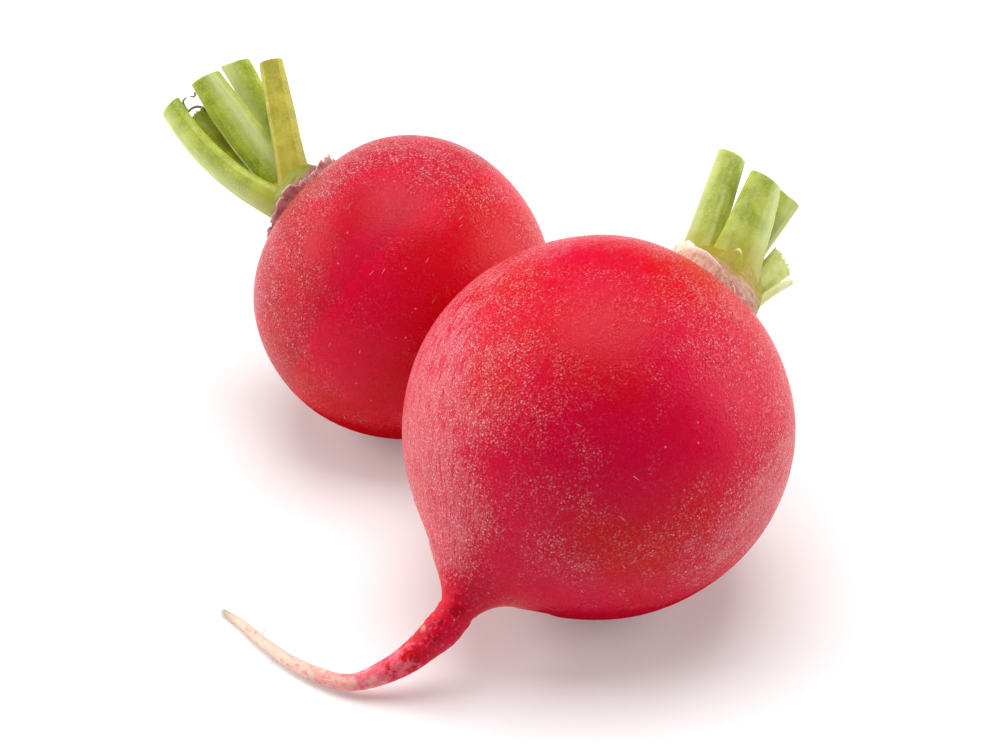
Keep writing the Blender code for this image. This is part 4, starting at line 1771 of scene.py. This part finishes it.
@dataclass(frozen=True)
class RadishSkin:
    """Fresh radish skin: a thin waxy cuticle over crimson cells.

    A painted sheen gives a pale pink haze at the edges, and fine pale grains, partly dry cells and
    partly painted glints, stand in it, fewer at some listed spots and more at others. Near the
    ground the red darkens with painted shade. The taproot loses the red and ends in cream.
    """

    name: str
    bright: str = "#CE0436"
    deep: str = "#CC0618"
    painted_sheen: str = "#DE7A82"
    grain_and_glint: str = "#F5A2A4"
    dull: str = "#8E0014"
    blush: str = "#EA6074"
    pink: str = "#D4506A"
    rose: str = "#EDAAA0"
    cream: str = "#EFCFBA"
    olive: str = "#98462C"
    scar: str = "#D99A80"
    shade: str = "#98060F"
    tip: str = "#A9A184"
    mottle: Pattern = Pattern(15.0 * MM, detail=2.0)
    streaks: Pattern = Pattern(0.55 * MM, 3.4 * MM)
    grains: Pattern = Pattern(0.29 * MM, cells=True)
    fine_grains: Pattern = Pattern(0.19 * MM, cells=True)
    breaks: Pattern = Pattern(0.16 * MM, detail=2.0)
    dust: Pattern = Pattern(0.35 * MM)
    patches: Pattern = Pattern(3.4 * MM, detail=4.0, roughness=0.6)
    flecks: Pattern = Pattern(1.1 * MM, cells=True)
    scars: Pattern = Pattern(2.3 * MM, cells=True)
    pebbles: Pattern = Pattern(0.24 * MM)
    clouds: Pattern = Pattern(0.8 * MM, detail=4.0)
    tail_edge: Pattern = Pattern(1.1 * MM, detail=4.0, roughness=0.7)
    tail_dirt: Pattern = Pattern(0.9 * MM, detail=4.0)
    tail_specks: Pattern = Pattern(0.4 * MM, detail=3.0)
    tail_spots: Pattern = Pattern(0.7 * MM, detail=4.0)
    tail_start: Tuple[float, float] = (0.58, 0.66)  # shares of the way to the tip
    red_end: float = 0.725  # where the red starts to go
    blush_end: float = 0.765  # where it is pink
    rose_end: float = 0.825  # where it is pale pink
    cream_end: float = 0.880  # and where it is cream

    def build(self) -> Material:
        """Make the finish.

        Returns:
            The material.
        """
        s = Surface.start(self.name)
        patch = s.read(self.patches)
        # how grainy the skin is, which also says where the painted sheen shows
        bloom_and_sheen = s.rise(s.sway(patch, 1.7, "bloom_and_sheen"), -0.1, 1.4, 0.14, 1.3)
        bloom_and_sheen = s.rise(self.streaks, 0.25, 0.6, 0.55, 1.0, bloom_and_sheen)
        broken = s.rise(self.breaks, 0.36, 0.56, 0.25, 1.0)
        grains = [
            s.rise(s.read(pattern, "Color"), 0.30, 0.82, 0.05, share,
                   s.rise(pattern, 0.18, 0.50, 1.0, 0.0, broken))
            for pattern, share in ((self.fine_grains, 0.85), (self.grains, 1.0))]
        seldom = s.rise(s.read(self.flecks, "Color"), 0.6, 0.75)
        colour = s.coat(self.deep, (
            (self.bright, self.mottle, 0.36, 0.64),
            (self.dull, self.dust, 0.5, 0.8, 0.0, 0.5, bloom_and_sheen),
            # painted sheen: pale pink haze where the skin is most grainy, in place of reflection at
            # the edges
            (self.painted_sheen, bloom_and_sheen, 0.68, 1.28, 0.0, 0.46),
            (self.olive, patch, 0.3, 0.7, 0.6, 1.0, "collar"),
            # pale grains, partly dry cells and partly painted glints
            *((self.grain_and_glint, bloom_and_sheen, 0.02, 0.95, 0.0, 1.0, grain_and_glint) for grain_and_glint in grains),
            (self.grain_and_glint, self.flecks, 0.04, 0.13, 0.75, 0.0, seldom),
            (self.shade, "under", 0.55, 1.0, 0.0, 0.60),
        ))
        share = s.read("share")
        reach = s.sway(self.tail_edge, 0.22, share)
        scarred = s.rise(share, self.red_end - 0.09, self.red_end - 0.04)
        tail = s.rise(share, *self.tail_start)
        colour = s.coat(colour, (
            (self.scar, self.scars, 0.12, 0.26, 0.8, 0.0, scarred),
            (self.dull, self.tail_dirt, 0.50, 0.66, 0.0, 0.55, tail),
            (self.pink, self.tail_specks, 0.54, 0.68, 0.0, 0.55, tail),
            (self.blush, reach, self.red_end, self.blush_end),
            (self.rose, reach, self.blush_end, self.rose_end),
            (self.cream, reach, self.rose_end, self.cream_end),
            (self.blush, share, self.blush_end, self.rose_end, 0.0, 1.0,
             s.rise(self.tail_spots, 0.55, 0.68, 0.0, 0.55)),
            (self.tip, share, 0.965, 0.995, 0.0, 0.7),
        ))
        rough = s.rise(self.clouds, 0.3, 0.7, 0.22, 0.36)
        rough = s.add("ShaderNodeMath", {0: tail, 1: 0.16, 2: rough}, operation="MULTIPLY_ADD")
        mound = s.rise(self.grains, 0.0, 0.5, 1.0, 0.0, bloom_and_sheen)
        pebble = s.rise(self.pebbles, 0.3, 0.7, 0.0, 1.0, s.rise(bloom_and_sheen, 0.0, 1.0, 0.10))
        return s.finish(colour, rough, ((pebble, 0.085 * MM), (mound, 0.020 * MM)),
                        IOR=1.38, Specular_IOR_Level=s.rise("under", 0.0, 0.8, 0.15, 0.0))


@dataclass(frozen=True)
class CrownFlesh:
    """The crown's flesh: waxy, olive above, beige and dull purple where it meets the skin."""

    name: str
    olive: str
    green: str
    beige: str
    purple: str
    maroon: str
    clouds: Pattern = Pattern(1.2 * MM, detail=4.0)
    fine: Pattern = Pattern(0.45 * MM, detail=4.0, roughness=0.65)
    blots: Pattern = Pattern(1.0 * MM)
    specks: Pattern = Pattern(0.35 * MM)
    sheen: Pattern = Pattern(0.7 * MM)

    def build(self) -> Material:
        """Make the finish.

        Returns:
            The material.
        """
        s = Surface.start(self.name)
        height = s.add("ShaderNodeMath", {0: s.read(self.clouds), 1: 0.5, 2: s.read("height")},
                       operation="MULTIPLY_ADD")
        fine = s.read(self.fine)
        colour = s.coat(self.purple, (
            (self.beige, fine, 0.48, 0.66),
            (self.maroon, self.blots, 0.58, 0.70, 0.0, 0.8),
            (self.beige, height, 0.46, 0.62, 0.0, 0.4),
            (self.olive, height, 0.56, 0.80),
            (self.green, "foot", 0.35, 0.85, 0.0, 0.9),
            (self.beige, self.specks, 0.55, 0.7, 0.0, 0.35),
        ))
        rough = s.rise(self.sheen, 0.3, 0.7, 0.38, 0.58)
        return s.finish(colour, rough, ((fine, 0.07 * MM),), IOR=1.4)


@dataclass(frozen=True)
class StalkSkin:
    """A fresh petiole: smooth cuticle over lengthwise strands, paler along its ribs, with a pale
    band down one side that is partly a painted highlight.

    The strands give fine streaks, and tiny pale breathing pores give a dusting of dots. Its
    cut shows pale wet flesh with a ring of darker strand ends.
    """

    name: str
    light: str
    dark: str
    pale: str
    foot: str
    blush: str
    blush_share: float = 0.25  # how much of it is flushed
    flesh: str = "#DCE3B4"
    strand: str = "#8FA24A"
    strands: Pattern = Pattern(0.40 * MM, 8.0 * MM)
    clouds: Pattern = Pattern(2.6 * MM, detail=4.0, roughness=0.6)
    specks: Pattern = Pattern(0.26 * MM, detail=4.0, roughness=0.7)
    pores: Pattern = Pattern(0.45 * MM, cells=True)
    flush: Pattern = Pattern(2.0 * MM, detail=5.0, roughness=0.7)
    strand_ends: Pattern = Pattern(0.55 * MM, cells=True)
    sheen: Pattern = Pattern(1.2 * MM)

    def build(self) -> Material:
        """Make the finish.

        Returns:
            The material.
        """
        s = Surface.start(self.name)
        streak = s.read(self.strands)
        cloud = s.read(self.clouds)
        some = s.rise(s.read(self.pores, "Color"), 0.4, 0.6)
        inside = s.coat(self.flesh, ((self.strand, self.strand_ends, 0.15, 0.34, 0.6, 0.0),))
        colour = s.coat(self.dark, (
            (self.light, cloud, 0.34, 0.66),
            (self.dark, streak, 0.52, 0.75, 0.0, 0.40),
            (self.pale, self.specks, 0.48, 0.66, 0.0, 0.32),
            (self.pale, self.pores, 0.08, 0.28, 0.3, 0.0, some),
            (self.blush, self.flush, 0.56, 0.74, 0.0, self.blush_share),
            # pale band down one side: partly paler ribs, partly a painted highlight where light
            # falls
            (self.pale, streak, 0.2, 0.6, 0.45, 0.70, "pale"),
            (self.foot, "foot", 0.25, 0.95, 0.0, 0.75),
            (inside, "cut", 0.3, 0.8),
        ))
        rough = s.rise(self.sheen, 0.3, 0.7, 0.34, 0.5)
        return s.finish(colour, rough, ((streak, 0.030 * MM), (cloud, 0.05 * MM)), IOR=1.4)


@dataclass(frozen=True)
class DryScale:
    """A dry leaf base: papery, pale at its torn edge, veined from foot to edge."""

    name: str
    body: str
    edge: str
    stain: str
    vein: str
    edge_start: float = 0.62  # share of its height from which its edge pales
    blotches: Pattern = Pattern(0.9 * MM, detail=5.0, roughness=0.65)
    veins: Pattern = Pattern(0.28 * MM, 5.0 * MM)
    browning: Pattern = Pattern(0.45 * MM, detail=4.0)

    def build(self) -> Material:
        """Make the finish.

        Returns:
            The material.
        """
        s = Surface.start(self.name)
        blotch = s.read(self.blotches)
        vein = s.read(self.veins)
        colour = s.coat(self.stain, (
            (self.body, blotch, 0.38, 0.62),
            (self.vein, vein, 0.5, 0.66, 0.0, 0.4),
            (self.vein, self.browning, 0.40, 0.62, 0.25, 0.95, "tone"),
            (self.edge, "up", self.edge_start, 1.0, 0.0, 0.9),
        ))
        rough = s.rise(blotch, 0.3, 0.7, 0.5, 0.7)
        return s.finish(colour, rough, ((vein, 0.05 * MM), (blotch, 0.05 * MM)), IOR=1.45)


@dataclass(frozen=True)
class RootFibre:
    """A fine dry root hair or fibre, pale and matt."""

    name: str
    light: str
    dark: str
    clouds: Pattern = Pattern(1.5 * MM)
    fine: Pattern = Pattern(0.2 * MM)

    def build(self) -> Material:
        """Make the finish.

        Returns:
            The material.
        """
        s = Surface.start(self.name)
        colour = s.coat(self.dark, ((self.light, self.clouds, 0.3, 0.7),))
        fine = s.read(self.fine)
        return s.finish(colour, s.rise(fine, 0.3, 0.7, 0.5, 0.7), ((fine, 0.01 * MM),), IOR=1.45)


@dataclass
class SoftBox:
    """One soft light of the studio, aimed at the bunch."""

    name: str
    azimuth: float  # direction it stands in, degrees from the right, seen from above
    elevation: float
    distance: float
    size: float
    radiance: float

    def place(self) -> None:
        """Put the light in the scene."""
        light = bpy.data.lights.new(self.name, "AREA")
        light.shape = "SQUARE"
        light.size = self.size
        light.energy = self.radiance * math.pi * self.size ** 2
        turn = math.radians(self.azimuth)
        rise = math.radians(self.elevation)
        away = Vector((math.cos(turn) * math.cos(rise), math.sin(turn) * math.cos(rise),
                       math.sin(rise)))
        lamp = put(self.name, light)
        lamp.location = away * self.distance
        lamp.rotation_euler = away.to_track_quat("Z", "Y").to_euler()


@dataclass
class Studio:
    """The floor, the lights and the camera, which looks down on the bunch."""

    elevation: float = 35.0
    distance: float = 285.6 * MM  # from the camera to the front bulb's middle
    lens: float = 100.0  # mm
    sensor: float = 36.0  # mm
    image_width: int = 1000
    bulb_right: float = 99.0  # the front bulb's middle, pixels right of the image's
    bulb_below: float = 51.0  # and below it
    nearest: float = 0.01  # what the camera sees starts and ends here
    farthest: float = 10.0
    floor_size: float = 3.0
    floor_drop: float = 0.02 * MM
    backdrop: str = "#E6E6E6"
    white: str = "#FFFFFF"
    glow: float = 0.15  # the board is lit from beneath too, which lifts shadows
    ambient: float = 0.12
    boxes: Tuple[SoftBox, ...] = (
        SoftBox("overhead_light", azimuth=80.0, elevation=80.0, distance=0.9, size=0.75,
                radiance=4.6),
        SoftBox("left_light", azimuth=165.0, elevation=16.0, distance=0.9, size=0.9,
                radiance=4.4),
        SoftBox("right_light", azimuth=12.0, elevation=14.0, distance=0.9, size=0.8,
                radiance=4.0),
    )

    def build(self) -> None:
        """Set up the studio round the bunch."""
        self.place_camera()
        self.place_floor()
        for box in self.boxes:
            box.place()
        world = bpy.data.worlds.new("studio_air")
        world.use_nodes = True
        fill(world.node_tree, world.node_tree.nodes["Background"],
             {"Color": linear(self.white), "Strength": self.ambient})
        bpy.context.scene.world = world
        bpy.context.scene.view_settings.view_transform = "Standard"

    def place_camera(self) -> None:
        """Aim the camera so that the front bulb falls where it should in the picture."""
        rise = math.radians(self.elevation)
        ahead = Vector((0.0, math.cos(rise), -math.sin(rise)))
        upwards = Vector((0.0, math.sin(rise), math.cos(rise)))
        rightwards = Vector((1.0, 0.0, 0.0))
        pixels = self.lens / self.sensor * self.image_width
        bulb = Vector((-FOOTPRINT_CENTRE[0], -FOOTPRINT_CENTRE[1], FRONT.radius - REST_FLAT))
        spot = bulb - self.distance * (
            ahead + rightwards * (self.bulb_right / pixels) - upwards * (self.bulb_below / pixels)
        )
        camera = bpy.data.cameras.new("camera")
        camera.lens = self.lens
        camera.sensor_width = self.sensor
        camera.clip_start = self.nearest
        camera.clip_end = self.farthest
        eye = put("camera", camera)
        eye.location = spot
        eye.rotation_euler = (math.radians(90.0 - self.elevation), 0.0, 0.0)
        bpy.context.scene.camera = eye

    def place_floor(self) -> None:
        """Lay the pale floor under the bunch."""
        half = self.floor_size / 2.0
        corners = [(-half, -half), (half, -half), (half, half), (-half, half)]
        mesh = bpy.data.meshes.new("floor")
        mesh.from_pydata([(x, y, -self.floor_drop) for x, y in corners], [], [(0, 1, 2, 3)])
        board = Surface.start("Matt white board")
        fill(board.material.node_tree, board.shader, {
            "Base Color": linear(self.backdrop), "Roughness": 1.0, "Specular IOR Level": 0.0,
            "Emission Color": linear(self.white), "Emission Strength": self.glow})
        mesh.materials.append(board.material)
        floor = put("floor", mesh)


FRONT_SKIN = RadishSkin("Front radish skin, waxed cuticle")
BACK_SKIN = RadishSkin("Back radish skin, waxed cuticle", bright="#D60836", deep="#C80618",
                       olive="#64222A")
FRONT_FLESH = CrownFlesh("Front crown flesh", olive="#988606", green="#869410", beige="#C6A284",
                         purple="#AC6C66", maroon="#84403E")
BACK_FLESH = CrownFlesh("Back crown flesh", olive="#868A22", green="#76861A", beige="#A86A62",
                        purple="#944850", maroon="#6E2832")
FRONT_STALKS = {
    StalkLook.GREEN: StalkSkin("Green petiole", light="#ADB844", dark="#87990E", pale="#C8D08E",
                               foot="#A29624", blush="#BE9A68"),
    StalkLook.PALE: StalkSkin("Torn pale petiole", light="#D2D884", dark="#B2C052",
                              pale="#E8EAC0", foot="#C6C26A", blush="#CDBA8A",
                              blush_share=0.4),
}
BACK_STALKS = {
    StalkLook.GREEN: StalkSkin("Back green petiole", light="#B6C238", dark="#8C9E08",
                               pale="#D6E09C", foot="#9E9A1E", blush="#B9A15A"),
    StalkLook.OLIVE: StalkSkin("Olive petiole", light="#BCB22E", dark="#9A920E", pale="#CAC272",
                               foot="#9E8E10", blush="#B88A50", blush_share=0.6),
    StalkLook.YOUNG: StalkSkin("Young dark petiole", light="#AEB034", dark="#848C18",
                               pale="#B6BC60", foot="#94962C", blush="#6E4E28",
                               blush_share=0.4),
}
PEACH_SCALE = DryScale("Dry peach scale", body="#F4D8B8", edge="#FBECD8", stain="#E8C0A0",
                       vein="#BE8A7C")
PINK_SCALE = DryScale("Dry pink scale", body="#DA9C98", edge="#EAC8C0", stain="#BC666C",
                      vein="#984A54")
GREEN_SHEATH = DryScale("Fresh torn sheath", body="#9E981A", edge="#DDE6A8", stain="#9C861A",
                        vein="#868A18", edge_start=0.80)
ROOT_HAIR = RootFibre("Dry root hair", light="#F4E9D8", dark="#D9BCA4")
PINK_FIBRE = RootFibre("Dry pink fibre", light="#D0928C", dark="#A0565A")
PORE_DASH = RootFibre("Pale breathing pore", light="#E88792", dark="#D0566A")
YOUNG_RIB = RootFibre("Torn young rib", light="#6E7420", dark="#3C3A18")
FRONT_SHEETS = (
    Sheet(start=160.0, end=250.0, height=1.10, lean=0.16, tone=0.0),
    Sheet(start=208.0, end=284.0, height=0.95, lean=0.34, tone=0.85),
)
TORN_SHEETS = (Sheet(start=244.0, end=284.0, height=2.05, lean=-0.26, tone=0.0),)
BACK_SHEETS = (
    Sheet(start=158.0, end=216.0, height=1.35, lean=0.75, tone=0.05),
    Sheet(start=200.0, end=250.0, height=1.05, lean=0.35, tone=0.45),
    Sheet(start=230.0, end=286.0, height=1.45, lean=0.70, tone=0.0),
    Sheet(start=270.0, end=318.0, height=1.00, lean=0.30, tone=0.35),
    Sheet(start=300.0, end=372.0, height=1.35, lean=0.65, tone=0.1),
)
DARK_CURLS = (
    Thread("back_young_curl_claw", (
        mm(-1.50, 2.2, 33.52), mm(-1.25, 2.2, 34.34), mm(-0.86, 2.2, 34.74),
        mm(-0.37, 2.2, 34.72)), radius=0.20 * MM, tip_radius=0.07 * MM),
    Thread("back_young_curl_hook", (
        mm(0.01, 2.2, 34.46), mm(0.24, 2.2, 34.12), mm(0.50, 2.2, 34.12),
        mm(0.67, 2.2, 34.38)), radius=0.07 * MM, tip_radius=0.13 * MM),
    Thread("back_young_curl_loop", (
        mm(-1.47, 2.2, 33.39), mm(-0.85, 2.2, 33.31), mm(-0.29, 2.2, 32.94),
        mm(-0.01, 2.2, 32.22), mm(-0.34, 2.2, 31.75), mm(-0.97, 2.2, 31.41)),
        radius=0.13 * MM, tip_radius=0.19 * MM),
)


def dress_radish(radish: Radish, skin: RadishSkin, crown: CrownFlesh,
                 fibre: Material, dash: Material,
                 stalks: Dict[StalkLook, StalkSkin]) -> None:
    """Build the root, crown and stalks of one radish.

    Args:
        radish: the radish.
        skin: the finish of its root.
        crown: the finish of its crown.
        fibre: the finish of its hairs.
        dash: the finish of the pale dashes on its bulb.
        stalks: the finish for each look of stalk.
    """
    Root(radish).build(skin.build(), fibre, dash)
    Crown(radish).build(crown.build())
    finishes = {look: finish.build() for look, finish in stalks.items()}
    for stalk in radish.stalks:
        StalkPiece(radish, stalk).build(finishes[stalk.look])


def main() -> None:
    """Build the studio and dress both radishes."""
    logging.basicConfig(level=logging.INFO, format="%(name)s %(message)s")
    Studio().build()
    dash = PORE_DASH.build()
    dress_radish(FRONT, FRONT_SKIN, FRONT_FLESH, ROOT_HAIR.build(), dash, FRONT_STALKS)
    dress_radish(BACK, BACK_SKIN, BACK_FLESH, PINK_FIBRE.build(), dash, BACK_STALKS)
    front_scale, torn_stub = FRONT.scales
    ScaleSheets(FRONT, front_scale, FRONT_SHEETS, ragged=0.14).build(PEACH_SCALE.build())
    ScaleSheets(FRONT, torn_stub, TORN_SHEETS, ragged=0.3, thickness=0.36 * MM).build(
        GREEN_SHEATH.build())
    ScaleSheets(BACK, BACK.scales[0], BACK_SHEETS, ragged=0.7).build(PINK_SCALE.build())
    rib = YOUNG_RIB.build()
    for curl in DARK_CURLS:
        add_piece(curl.name, curl.skin(BACK).mesh(curl.name), rib, "young_stalk")


if __name__ == "__main__":
    main()
